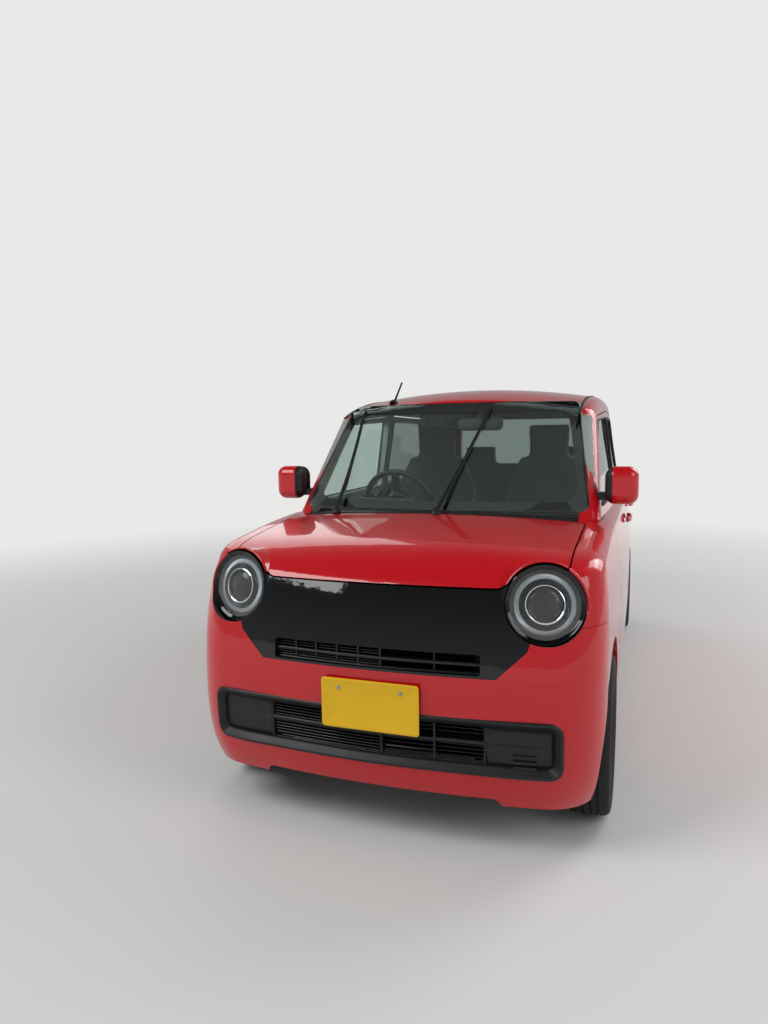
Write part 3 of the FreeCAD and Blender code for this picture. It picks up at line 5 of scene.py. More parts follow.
import logging
import math
from dataclasses import dataclass, field
from enum import Enum
from typing import Callable, Sequence

import bmesh
import bpy
import numpy as np
from mathutils import Matrix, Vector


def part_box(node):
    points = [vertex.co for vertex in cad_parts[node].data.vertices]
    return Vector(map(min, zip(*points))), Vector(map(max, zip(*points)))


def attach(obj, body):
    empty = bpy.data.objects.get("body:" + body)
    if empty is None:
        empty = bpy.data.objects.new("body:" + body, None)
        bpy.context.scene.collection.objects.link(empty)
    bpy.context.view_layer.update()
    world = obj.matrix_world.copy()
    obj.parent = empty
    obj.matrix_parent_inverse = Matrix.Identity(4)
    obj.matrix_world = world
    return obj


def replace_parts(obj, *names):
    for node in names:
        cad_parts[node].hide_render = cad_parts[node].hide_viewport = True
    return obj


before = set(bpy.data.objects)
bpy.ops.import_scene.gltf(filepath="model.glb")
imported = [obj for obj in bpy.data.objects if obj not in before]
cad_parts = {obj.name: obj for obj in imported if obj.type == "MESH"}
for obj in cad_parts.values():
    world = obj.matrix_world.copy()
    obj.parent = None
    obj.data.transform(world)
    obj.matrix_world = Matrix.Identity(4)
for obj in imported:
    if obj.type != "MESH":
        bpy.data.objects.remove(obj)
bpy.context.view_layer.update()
LOG = logging.getLogger("car")

NOSE = -1.6975  # y of the front bumper
SIDES = ((1.0, "left"), (-1.0, "right"))
FRONT_AXLE = NOSE + 0.490
REAR_AXLE = FRONT_AXLE + 2.520
WHEEL_X = 0.6525
AXLE_Z = 0.278
PLATE_SIZE = (0.330, 0.165)


def at(station: float) -> float:
    """Y of a station, a distance behind the nose in metres."""
    return NOSE + station


# Finishes


def linear(hex_colour: str) -> tuple[float, float, float, float]:
    """Turns an sRGB hex colour to linear light.

    Args:
        hex_colour: six hex digits after a hash.

    Returns:
        Red, green, blue and an alpha of 1.
    """
    srgb = np.array([int(hex_colour[i : i + 2], 16) for i in (1, 3, 5)]) / 255
    light = np.where(srgb <= 0.04045, srgb / 12.92, ((srgb + 0.055) / 1.055) ** 2.4)
    return (*light.tolist(), 1.0)


def add_node(tree: bpy.types.NodeTree, kind: str, inputs: dict | None = None,
             **settings: object) -> bpy.types.Node:
    """Adds a node with its settings and links.

    Args:
        tree: node tree that gets the node.
        kind: the node's type.
        inputs: socket name or number to a value, or to the socket that feeds it.
        settings: the node's own properties.

    Returns:
        The new node.
    """
    made = tree.nodes.new(kind)
    for name, value in settings.items():
        setattr(made, name, value)
    for name, value in (inputs or {}).items():
        if isinstance(value, bpy.types.NodeSocket):
            tree.links.new(value, made.inputs[name])
        else:
            made.inputs[name].default_value = value
    return made


class Pattern(Enum):
    """How a surface was made, which sets its fine relief."""

    PEEL = "long soft waves of sprayed lacquer"
    GRAIN = "pebbled grain of a moulded skin"
    CAST = "fine sand of a casting"
    WEAVE = "threads that cross"
    NAP = "short pile"
    POLISHED = "no relief, only faint dust"


@dataclass(frozen=True)
class Finish:
    """A real material: its colour, its sheen and the relief that its making leaves.

    Sizes of the relief are in millimetres. mottle is the share by which the colour wanders.
    """

    label: str
    colour: str
    roughness: float
    pattern: Pattern
    relief_mm: float
    relief: float
    mottle: float = 0.04
    metallic: float = 0.0
    ior: float = 1.5
    coat: float = 0.0
    transmission: float = 0.0
    sheen: float = 0.0
    dust: float = 0.0
    bands: tuple[tuple[float, str], ...] = ()
    specular: float = 0.5

    def material(self) -> bpy.types.Material:
        """Returns the Blender material, made once."""
        found = bpy.data.materials.get(self.label)
        return found if found else self._make()

    def _height(self, tree: bpy.types.NodeTree, place: bpy.types.NodeSocket) -> bpy.types.NodeSocket:
        """Relief of the pattern as a height from 0 to 1."""
        per_metre = 1000.0 / self.relief_mm
        if self.pattern is Pattern.WEAVE:
            waves = [
                add_node(tree, "ShaderNodeTexWave",
                         {"Vector": place, "Scale": per_metre / 3, "Distortion": 0.6},
                         bands_direction=direction)
                for direction in ("DIAGONAL", "Z")
            ]
            crossed = add_node(tree, "ShaderNodeMath",
                               {0: waves[0].outputs["Fac"], 1: waves[1].outputs["Fac"]}, operation="MULTIPLY")
            return crossed.outputs[0]
        if self.pattern is Pattern.GRAIN:
            cells = add_node(tree, "ShaderNodeTexVoronoi",
                             {"Vector": place, "Scale": per_metre, "Randomness": 0.9}, feature="SMOOTH_F1")
            return cells.outputs["Distance"]
        detail = {Pattern.PEEL: 1.0, Pattern.CAST: 6.0, Pattern.NAP: 8.0, Pattern.POLISHED: 2.0}[self.pattern]
        noise = add_node(tree, "ShaderNodeTexNoise", {"Vector": place, "Scale": per_metre, "Detail": detail})
        return noise.outputs["Fac"]

    def _banded(self, tree: bpy.types.NodeTree, place: bpy.types.NodeSocket) -> bpy.types.NodeSocket:
        """Colour that changes at heights: each band's colour holds from its height upward."""
        height = add_node(tree, "ShaderNodeSeparateXYZ", {0: place}).outputs[2]
        colour = linear(self.colour)
        for level, hex_colour in self.bands:
            above = add_node(tree, "ShaderNodeMath", {0: height, 1: level},
                             operation="GREATER_THAN").outputs[0]
            colour = add_node(tree, "ShaderNodeMix", {0: above, 6: colour, 7: linear(hex_colour)},
                              data_type="RGBA").outputs[2]
        return colour

    def _make(self) -> bpy.types.Material:
        """Builds the node tree: relief, wandering colour and wandering roughness on one Principled shader."""
        made = bpy.data.materials.new(self.label)
        made.use_nodes = True
        tree = made.node_tree
        shader = tree.nodes["Principled BSDF"]
        place = add_node(tree, "ShaderNodeTexCoord").outputs["Object"]
        clouds = add_node(tree, "ShaderNodeTexNoise",
                          {"Vector": place, "Scale": 7.0, "Detail": 3.0}).outputs["Fac"]
        if self.mottle:
            base = np.array(linear(self.colour))
            dark, light = base * (1 - self.mottle), np.minimum(base * (1 + self.mottle), 1.0)
            share = add_node(tree, "ShaderNodeMapRange", {"Value": clouds, "From Min": 0.3, "From Max": 0.7})
            mix = add_node(tree, "ShaderNodeMix",
                           {0: share.outputs[0], 6: (*dark[:3], 1.0), 7: (*light[:3], 1.0)}, data_type="RGBA")
            tree.links.new(mix.outputs[2], shader.inputs["Base Color"])
        spread = add_node(tree, "ShaderNodeMapRange", {
            "Value": clouds, "To Min": self.roughness * 0.85,
            "To Max": min(self.roughness * 1.15 + self.dust, 1.0),
        })
        tree.links.new(spread.outputs[0], shader.inputs["Roughness"])
        if self.relief:
            bump = add_node(tree, "ShaderNodeBump", {
                "Height": self._height(tree, place), "Strength": self.relief,
                "Distance": self.relief_mm / 4000,
            })
            tree.links.new(bump.outputs[0], shader.inputs["Normal"])
        sockets = {
            "Metallic": self.metallic, "Coat Weight": self.coat, "Coat Roughness": 0.02,
            "Transmission Weight": self.transmission, "Sheen Weight": self.sheen,
            "Specular IOR Level": self.specular,
        }
        if not self.mottle:
            sockets["Base Color"] = linear(self.colour)
        if self.bands:
            tree.links.new(self._banded(tree, place), shader.inputs["Base Color"])
        if self.metallic < 1.0:
            sockets["IOR"] = self.ior
        for name, value in sockets.items():
            shader.inputs[name].default_value = value
        return made


# Acrylic enamel under clear lacquer: an even deep red whose gloss is the lacquer's, with faint orange peel
PAINT = Finish("red_enamel", "#C20313", 0.38, Pattern.PEEL, 14.0, 0.05, 0.02, coat=1.0, specular=0.15)
# ABS moulded in black and lacquered: one mirror-like surface with long faint waves
PIANO = Finish("piano_black_abs", "#050507", 0.05, Pattern.PEEL, 18.0, 0.04, 0.05)
# Polypropylene with an etched grain: dull, greyer where it has been rubbed
SATIN = Finish("grained_polypropylene", "#111214", 0.50, Pattern.GRAIN, 1.6, 0.25, 0.12)
# The same plastic from a polished tool, for fine louvres
LATTICE = Finish("smooth_polypropylene", "#0C0D0F", 0.38, Pattern.GRAIN, 2.4, 0.10, 0.10)
# Extruded EPDM seal: matt and chalky
SEAL = Finish("epdm_seal", "#08090A", 0.70, Pattern.CAST, 1.2, 0.20, 0.15)
# Tyre compound: matt, with dust in the shoulders
COMPOUND = Finish("tyre_compound", "#161617", 0.78, Pattern.CAST, 2.0, 0.35, 0.25)
# Laminated float glass, faintly green, with a little road dust
CLEAR_GLASS = Finish("float_glass", "#DCE9E4", 0.0, Pattern.POLISHED, 300.0, 0.0, 0.0, transmission=1.0,
                     dust=0.02)
# Privacy glass of the rear windows, dyed in the mass
DARK_GLASS = Finish("privacy_glass", "#8A9490", 0.0, Pattern.POLISHED, 300.0, 0.0, 0.0, transmission=1.0,
                    dust=0.02)
# Hard-coated polycarbonate cover of the lamps
COVER = Finish("clear_polycarbonate", "#F6F8F9", 0.0, Pattern.POLISHED, 300.0, 0.0, 0.0, ior=1.45,
               transmission=1.0, dust=0.01)
# Optical lens of the projector, made opaque and dark navy: painted shade of the lamp's unlit inside seen
# through it
SHADED_OPTIC = Finish("projector_optic_painted_shade", "#03050B", 0.02, Pattern.POLISHED, 300.0, 0.0, 0.0, ior=1.45)
# Smoked metallising of the lamp's bowl
BOWL = Finish("smoked_metallising", "#303338", 0.24, Pattern.PEEL, 6.0, 0.05, 0.05, metallic=1.0)
# Bright chrome of the projector's ring
CHROME = Finish("chrome_plate", "#E2E3E5", 0.08, Pattern.PEEL, 20.0, 0.02, 0.02, metallic=1.0)
# Knurled light guide of the daytime lamp, unlit, over metallising
GUIDE = Finish("knurled_light_guide", "#8D9196", 0.30, Pattern.CAST, 1.5, 0.10, 0.05, metallic=0.7)
# Black housing inside the lamps
HOUSING = Finish("lamp_housing", "#050506", 0.30, Pattern.PEEL, 10.0, 0.05, 0.05)
# Ceramic frit fired on the glass edge
FRIT = Finish("ceramic_frit", "#030304", 0.14, Pattern.CAST, 1.0, 0.03, 0.05)
# Yellow enamel on pressed aluminium sheet
PLATE = Finish("plate_enamel", "#E9B800", 0.34, Pattern.PEEL, 9.0, 0.08, 0.03)
# Zinc-plated steel screws
ZINC = Finish("zinc_plate", "#A9ACAF", 0.34, Pattern.CAST, 1.5, 0.12, 0.08, metallic=1.0)
# Cast aluminium under silver lacquer
ALLOY = Finish("silver_alloy", "#8F9295", 0.32, Pattern.CAST, 1.2, 0.10, 0.04, metallic=0.85, coat=0.5)
# Raw die-cast aluminium of the engine
CASTING = Finish("die_cast_aluminium", "#85878A", 0.50, Pattern.CAST, 2.2, 0.40, 0.12, metallic=0.9)
# Grey cast iron with thin black paint
IRON = Finish("black_cast_iron", "#222326", 0.62, Pattern.CAST, 1.8, 0.45, 0.20, metallic=0.2)
# Steel pipe, stained by heat
PIPE = Finish("plain_steel_pipe", "#77746F", 0.42, Pattern.CAST, 2.5, 0.20, 0.20, metallic=1.0)
# Anti-chip sealer sprayed under the floor and in the wheelhouses
SEALER = Finish("sprayed_sealer", "#232426", 0.80, Pattern.CAST, 3.0, 0.60, 0.15)
# Soft-touch dashboard and door trim, pebbled
DASH = Finish("dark_cabin_trim", "#17181B", 0.60, Pattern.GRAIN, 2.0, 0.30, 0.08)
# Pale pillar covers
PALE_TRIM = Finish("pale_cabin_trim", "#8B9089", 0.62, Pattern.GRAIN, 2.2, 0.25, 0.06)
# Knitted roof lining
LINING = Finish("knitted_lining", "#9A9A93", 0.90, Pattern.NAP, 1.5, 0.35, 0.06, sheen=0.3)
# Woven seat cloth; its threads of about 1 mm are drawn at 4 mm so that they show
CLOTH = Finish("woven_seat_cloth", "#1B1D25", 0.88, Pattern.WEAVE, 4.0, 0.60, 0.16, sheen=0.35)
# Wrapped steering wheel rim
WRAP = Finish("polyurethane_wrap", "#101012", 0.45, Pattern.GRAIN, 1.4, 0.30, 0.06)
# Red acrylic of the tail lamps, fluted by its tool
RED_LENS = Finish("red_acrylic", "#8E0510", 0.10, Pattern.PEEL, 12.0, 0.05, 0.06, ior=1.49, coat=0.6)
# Acrylic tail lens moulded in three colours: clear reversing lamp, red stop lamp and amber turn lamp in turn
TAIL_LENS = Finish("three_colour_acrylic", "#B9BDBF", 0.10, Pattern.PEEL, 12.0, 0.05, ior=1.49, coat=0.6,
                   bands=((0.800, "#3C0207"), (0.806, "#A20611"), (0.884, "#3C0207"), (0.890, "#D2600C"),
                          (0.950, "#3C0207"), (0.956, "#A20611")))
# Silvered mirror glass
MIRROR = Finish("silvered_glass", "#C4CCD0", 0.02, Pattern.POLISHED, 300.0, 0.0, 0.02, metallic=1.0)
# Radiator tubes and fins, painted black
CORE = Finish("radiator_core", "#1A1B1C", 0.60, Pattern.CAST, 2.0, 0.40, 0.15, metallic=0.4)


# Meshes


class Form:
    """Collects grids of points and makes one mesh object of them."""

    def __init__(self) -> None:
        """Starts with no points."""
        self._points: list[np.ndarray] = []
        self._faces: list[np.ndarray] = []
        self._count = 0

    def grid(self, points: np.ndarray, wrap: bool = True, both: bool = False) -> None:
        """Adds a surface through a grid of points.

        Args:
            points: rows by columns by xyz.
            wrap: whether the last column joins the first.
            both: also adds the mirror image on the other side of the car.
        """
        rows, columns = points.shape[:2]
        index = np.arange(rows * columns).reshape(rows, columns)
        if wrap:
            index = np.hstack([index, index[:, :1]])
        quads = np.stack([index[:-1, :-1], index[1:, :-1], index[1:, 1:], index[:-1, 1:]], -1).reshape(-1, 4)
        self._add(points.reshape(-1, 3), quads)
        if both:
            self._add(points.reshape(-1, 3) * (-1, 1, 1), quads[:, ::-1])

    def turn(self, profile: Sequence[tuple[float, float]], centre: Sequence[float], axis: Sequence[float],
             steps: int) -> None:
        """Adds a profile turned about an axis."""
        self.grid(turned(profile, centre, axis, steps))

    def bar(self, path: np.ndarray, section: np.ndarray, across: Sequence[float], both: bool = False) -> None:
        """Adds a section carried along a path, closed at both ends."""
        self.grid(capped(swept(path, section, across)), both=both)

    def boxes(self, low: np.ndarray, high: np.ndarray) -> None:
        """Adds upright boxes, each between its lowest and its highest corner."""
        low, high = np.atleast_2d(low), np.atleast_2d(high)
        pick = np.array([[0, 0, 0], [1, 0, 0], [1, 1, 0], [0, 1, 0],
                         [0, 0, 1], [1, 0, 1], [1, 1, 1], [0, 1, 1]])
        corners = low[:, None] + (high - low)[:, None] * pick
        sides = np.array([[0, 3, 2, 1], [4, 5, 6, 7], [0, 1, 5, 4], [1, 2, 6, 5], [2, 3, 7, 6], [3, 0, 4, 7]])
        self._add(corners.reshape(-1, 3), (np.arange(len(corners))[:, None, None] * 8 + sides).reshape(-1, 4))

    def _add(self, points: np.ndarray, faces: np.ndarray) -> None:
        """Appends points and faces."""
        self._points.append(points)
        self._faces.append(faces + self._count)
        self._count += len(points)

    def make(self, name: str, finish: Finish, body: str, sharp: float = 35.0,
             outward: bool = True) -> bpy.types.Object:
        """Makes the mesh object, dresses it and sets it on its body.

        Args:
            name: the piece's name.
            finish: what it is made of.
            body: the CAD body that carries it.
            sharp: edges that bend by more degrees than this stay sharp.
            outward: whether the faces are turned outward first.

        Returns:
            The new object.
        """
        mesh = bpy.data.meshes.new(name)
        mesh.from_pydata(np.concatenate(self._points), [], np.concatenate(self._faces))
        mesh.materials.append(finish.material())
        work = bmesh.new()
        work.from_mesh(mesh)
        bmesh.ops.remove_doubles(work, verts=work.verts, dist=1e-5)
        if outward:
            bmesh.ops.recalc_face_normals(work, faces=work.faces)
        work.to_mesh(mesh)
        work.free()
        mesh.shade_smooth()
        mesh.set_sharp_from_angle(angle=math.radians(sharp))
        made = bpy.data.objects.new(name, mesh)
        bpy.context.scene.collection.objects.link(made)
        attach(made, body)
        LOG.info("%s: %d faces on %s", name, len(mesh.polygons), body)
        return made


def turned(profile: Sequence[tuple[float, float]], centre: Sequence[float], axis: Sequence[float],
           steps: int) -> np.ndarray:
    """Surface of revolution.

    A profile point (r, h) goes to centre + axis*h + r*(up*cos t + side*sin t), where up is the part of +Z
    across the axis, or +Y for an upright axis, and t runs once round.

    Args:
        profile: radius and height along the axis, in metres.
        centre: point on the axis.
        axis: direction of the axis.
        steps: points round the turn.

    Returns:
        Grid of points, profile rows by turn columns.
    """
    line = np.asarray(axis, float) / np.linalg.norm(axis)
    up = np.array([0.0, 0.0, 1.0]) if abs(line[2]) < 0.9 else np.array([0.0, 1.0, 0.0])
    up = up - line * (up @ line)
    up /= np.linalg.norm(up)
    side = np.cross(line, up)
    turn = np.linspace(0, math.tau, steps, endpoint=False)
    ring = np.cos(turn)[:, None] * up + np.sin(turn)[:, None] * side
    radius, height = np.asarray(profile, float).T
    return np.asarray(centre) + height[:, None, None] * line + radius[:, None, None] * ring[None]


def swept(path: np.ndarray, section: np.ndarray, across: Sequence[float]) -> np.ndarray:
    """Profile carried along a path.

    A section point (a, b) at path point p goes to p + a*n + b*m, where m is across made square to the path's
    direction, and n is square to both.

    Args:
        path: count by xyz.
        section: count by two, or path count by section count by two where it changes on the way.
        across: rough direction of the section's second coordinate.

    Returns:
        Grid of points, path rows by section columns.
    """
    along = np.gradient(path, axis=0)
    along /= np.linalg.norm(along, axis=1, keepdims=True)
    m = np.asarray(across, float) - along * (along @ np.asarray(across, float))[:, None]
    m /= np.linalg.norm(m, axis=1, keepdims=True)
    n = np.cross(m, along)
    section = np.broadcast_to(section, (len(path), *np.shape(section)[-2:]))
    return path[:, None] + section[..., :1] * n[:, None] + section[..., 1:] * m[:, None]


def outline(corners: Sequence[tuple[float, float, float]], steps: int = 7) -> np.ndarray:
    """Closed outline through corners, each rounded by a tangent arc.

    The arc's centre lies on the corner's bisector at radius/sin(half the corner's angle).

    Args:
        corners: two coordinates and a radius for each corner.
        steps: points on each arc.

    Returns:
        Count by two, without the first point repeated.
    """
    points = []
    share = np.linspace(0, 1, steps)[:, None]
    for i, (a, b, radius) in enumerate(corners):
        here = np.array([a, b])
        rays = [np.array(corners[k][:2]) - here for k in (i - 1, (i + 1) % len(corners))]
        before, after = (ray / np.linalg.norm(ray) for ray in rays)
        half = math.acos(np.clip(before @ after, -1, 1)) / 2
        middle = (before + after) / np.linalg.norm(before + after)
        centre = here + middle * radius / math.sin(half)
        start, end = (here + ray * radius / math.tan(half) - centre for ray in (before, after))
        sweep = math.pi - 2 * half
        blend = np.sin((1 - share) * sweep) * start + np.sin(share * sweep) * end
        points.append(centre + blend / math.sin(sweep))
    return np.concatenate(points)


def rounded(width: float, height: float, radius: float, steps: int = 5) -> np.ndarray:
    """Rounded rectangle about the origin."""
    a, b = width / 2, height / 2
    return outline([(a, b, radius), (-a, b, radius), (-a, -b, radius), (a, -b, radius)], steps)


def evened(loop: np.ndarray, count: int) -> np.ndarray:
    """Evenly spaced points along a closed outline, starting at its first point."""
    closed = np.vstack([loop, loop[:1]])
    walk = np.concatenate([[0], np.cumsum(np.linalg.norm(np.diff(closed, axis=0), axis=1))])
    stops = np.linspace(0, walk[-1], count, endpoint=False)
    return np.stack([np.interp(stops, walk, closed[:, k]) for k in range(loop.shape[1])], 1)


def capped(rings: np.ndarray) -> np.ndarray:
    """Closes a tube of rings at both ends by shrinking its first and last ring to their middles."""
    first, last = rings[:1].mean(1, keepdims=True), rings[-1:].mean(1, keepdims=True)
    ends = [np.broadcast_to(end, rings[:1].shape) for end in (first, last)]
    return np.concatenate([ends[0], rings, ends[1]])


class FittedFace:
    """Smooth surface through the faces of CAD nodes that look one way.

    The coordinate along one axis is a polynomial of the other two, found by least squares on the faces'
    corners.
    """

    def __init__(self, nodes: Sequence[str], axis: int, towards: int, degree: int = 5,
                 window: Callable[[np.ndarray], np.ndarray] | None = None) -> None:
        """Fits the surface.

        Args:
            nodes: CAD nodes.
            axis: 0, 1 or 2 for the coordinate that is worked out.
            towards: sign of the outward direction along that axis.
            degree: highest power of the polynomial.
            window: picks the points that count.
        """
        points = np.concatenate([self._outer(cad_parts[name].data, axis, towards) for name in nodes])
        if window is not None:
            points = points[window(points)]
        self._others = [i for i in range(3) if i != axis]
        flat = points[:, self._others]
        self._middle, self._reach = (flat.max(0) + flat.min(0)) / 2, (flat.max(0) - flat.min(0)) / 2
        self._powers = [(i, j) for i in range(degree + 1) for j in range(degree + 1 - i)]
        self._weights = np.linalg.lstsq(self._terms(flat), points[:, axis], rcond=None)[0]

    @staticmethod
    def _outer(mesh: bpy.types.Mesh, axis: int, towards: int) -> np.ndarray:
        """Corners of the faces that look outward."""
        count = len(mesh.polygons)
        normals, starts = np.empty(count * 3), np.empty(count, np.int32)
        mesh.polygons.foreach_get("normal", normals)
        mesh.polygons.foreach_get("loop_start", starts)
        owners = np.empty(len(mesh.loops), np.int32)
        mesh.loops.foreach_get("vertex_index", owners)
        points = np.empty(len(mesh.vertices) * 3)
        mesh.vertices.foreach_get("co", points)
        picked = starts[normals.reshape(-1, 3)[:, axis] * towards > 0.4]
        corners = owners[(picked[:, None] + np.arange(3)).reshape(-1)]
        return points.reshape(-1, 3)[np.unique(corners)]

    def _terms(self, flat: np.ndarray) -> np.ndarray:
        """Powers of the two coordinates, scaled to -1 to 1."""
        scaled = (flat - self._middle) / self._reach
        return np.stack([scaled[..., 0] ** i * scaled[..., 1] ** j for i, j in self._powers], -1)

    def __call__(self, a: np.ndarray, b: np.ndarray) -> np.ndarray:
        """The worked-out coordinate at places given by the other two."""
        a, b = np.broadcast_arrays(np.asarray(a, float), np.asarray(b, float))
        return self._terms(np.stack([a, b], -1)) @ self._weights


def dress(name: str, outside: Finish,
          *others: tuple[Finish, Callable[[np.ndarray, np.ndarray], np.ndarray]]) -> None:
    """Gives a CAD node its finishes.

    Args:
        name: the node.
        outside: finish of every face that no other finish takes.
        others: further finishes, each with a rule that picks its faces from their middles and normals.
    """
    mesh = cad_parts[name].data
    mesh.materials.clear()
    count = len(mesh.polygons)
    normals, middles = np.empty(count * 3), np.empty(count * 3)
    mesh.polygons.foreach_get("normal", normals)
    mesh.polygons.foreach_get("center", middles)
    marks = np.zeros(count, np.int32)
    mesh.materials.append(outside.material())
    for mark, (finish, picks) in enumerate(others, start=1):
        mesh.materials.append(finish.material())
        marks[picks(middles.reshape(-1, 3), normals.reshape(-1, 3))] = mark
    mesh.polygons.foreach_set("material_index", marks)


def strip(rings: Sequence[tuple[np.ndarray, float]], face: Callable, side: float, axis: int) -> np.ndarray:
    """Closed strip that follows a face between outlines.

    Args:
        rings: outlines of equal length in the face's two coordinates, each with its height over the face.
        face: gives the third coordinate.
        side: sign of the outward direction.
        axis: index of the third coordinate.

    Returns:
        Grid of points: the rings in turn, and the first once more.
    """
    points = [np.insert(loop, axis, face(loop[:, 0], loop[:, 1]) + side * height, 1)
              for loop, height in rings]
    return np.stack([*points, points[0]])


def inset(loop: np.ndarray, distance: float) -> np.ndarray:
    """Closed outline moved inward along its own normals."""
    along = np.roll(loop, -1, 0) - np.roll(loop, 1, 0)
    normal = np.stack([-along[:, 1], along[:, 0]], 1) / np.linalg.norm(along, axis=1, keepdims=True)
    area = (loop[:, 0] * np.roll(loop[:, 1], -1) - np.roll(loop[:, 0], -1) * loop[:, 1]).sum()
    return loop + normal * distance * math.copysign(1.0, area)


def face_line(x: np.ndarray, face: Callable, z: float, lift: float) -> np.ndarray:
    """Line across the car at one height, lifted off a face that looks along Y."""
    return np.stack([x, face(x, z) + lift, np.full_like(x, z)], 1)


def number_plate(name: str, size: tuple[float, float], centre: np.ndarray, facing: float, body: str) -> None:
    """Bare number plate: enamelled sheet with a raised rim, and two screws.

    The outline is carried inward in steps that rise to the rim and fall back to the field.

    Args:
        name: the piece's name.
        size: width and height.
        centre: middle of its back.
        facing: 1 where it faces the tail, -1 where it faces the nose.
        body: the body that carries it.
    """
    form = Form()
    rings = []
    for margin, lift in ((0.002, 0.0), (0.0, 0.0002), (0.0, 0.0012), (0.004, 0.0028), (0.008, 0.0028),
                        (0.012, 0.0012), (0.060, 0.0012)):
        loop = rounded(size[0] - 2 * margin, size[1] - 2 * margin, max(0.011 - margin / 2, 0.0004), 6)
        rings.append(centre + np.stack([loop[:, 0], np.full(len(loop), lift * facing), loop[:, 1]], 1))
    form.grid(capped(np.stack(rings)))
    form.make(name, PLATE, body)
    form = Form()
    for x in (-0.105, 0.105):
        form.turn([(0.0001, 0.0044), (0.0035, 0.0042), (0.0062, 0.0028), (0.0068, 0.0), (0.0068, -0.001)],
                  centre + (x, 0.0010 * facing, size[1] * 0.31), (0, facing, 0), 24)
    form.make(f"{name}_screws", ZINC, body)


# Sub-assemblies


@dataclass
class Shell:
    """Painted body, its cabin side and its underside."""

    trim_height: float = 0.985
    jamb: float = 0.3
    window_head: float = 1.40
    window_stations: tuple[float, float] = (1.0, 2.75)
    glass_depth: float = 0.012
    cabin_middle: tuple[float, float, float] = (0.0, 0.0, 0.45)

    def dress(self) -> None:
        """Gives the panels their paint and the cabin side its trim, dark below the windows and pale above."""
        skin = FittedFace(["door_front_left", "door_rear_left"], 0, 1, 4,
                          lambda p: p[:, 2] > self.trim_height)

        def inner(middle: np.ndarray, normal: np.ndarray) -> np.ndarray:
            """Faces that look at the car's middle plane, and window frames' edges behind the glass."""
            depth = skin(middle[:, 1], middle[:, 2]) - np.abs(middle[:, 0])
            height = (middle[:, 2] > self.trim_height) & (middle[:, 2] < self.window_head)
            first, last = (at(station) for station in self.window_stations)
            between = (middle[:, 1] > first) & (middle[:, 1] < last)
            frames = height & between & (depth > self.glass_depth)
            return (-np.sign(middle[:, 0]) * normal[:, 0] > self.jamb) | frames

        def low(middle: np.ndarray, normal: np.ndarray) -> np.ndarray:
            """Those of them below the windows."""
            return inner(middle, normal) & (middle[:, 2] < self.trim_height)

        for name in ("body_sides", "door_front_left", "door_front_right",
                     "door_rear_left", "door_rear_right"):
            dress(name, PAINT, (PALE_TRIM, inner), (DASH, low))
        dress("roof_panel", PAINT, (LINING, lambda middle, normal: normal[:, 2] < -self.jamb))
        dress("tailgate", PAINT, (DASH, lambda middle, normal: normal[:, 1] < -self.jamb))

        def back(middle: np.ndarray, normal: np.ndarray) -> np.ndarray:
            """Faces that look at the cabin's middle."""
            return (normal * (middle - self.cabin_middle)).sum(1) < 0

        for name in ("front_fenders", "bonnet", "front_bumper", "rear_bumper"):
            dress(name, PAINT, (SEALER, back))
        dress("grille_panel", PIANO)
        dress("cowl_panel", SATIN)
        for name in ("floor_pan", "wheelhouses"):
            dress(name, SEALER)
        dress("engine_block", CASTING)
        for name in ("front_subframe", "rear_axle", "front_knuckle_left", "front_knuckle_right"):
            dress(name, IRON)
        dress("fuel_tank", SATIN)
        dress("exhaust", PIPE)


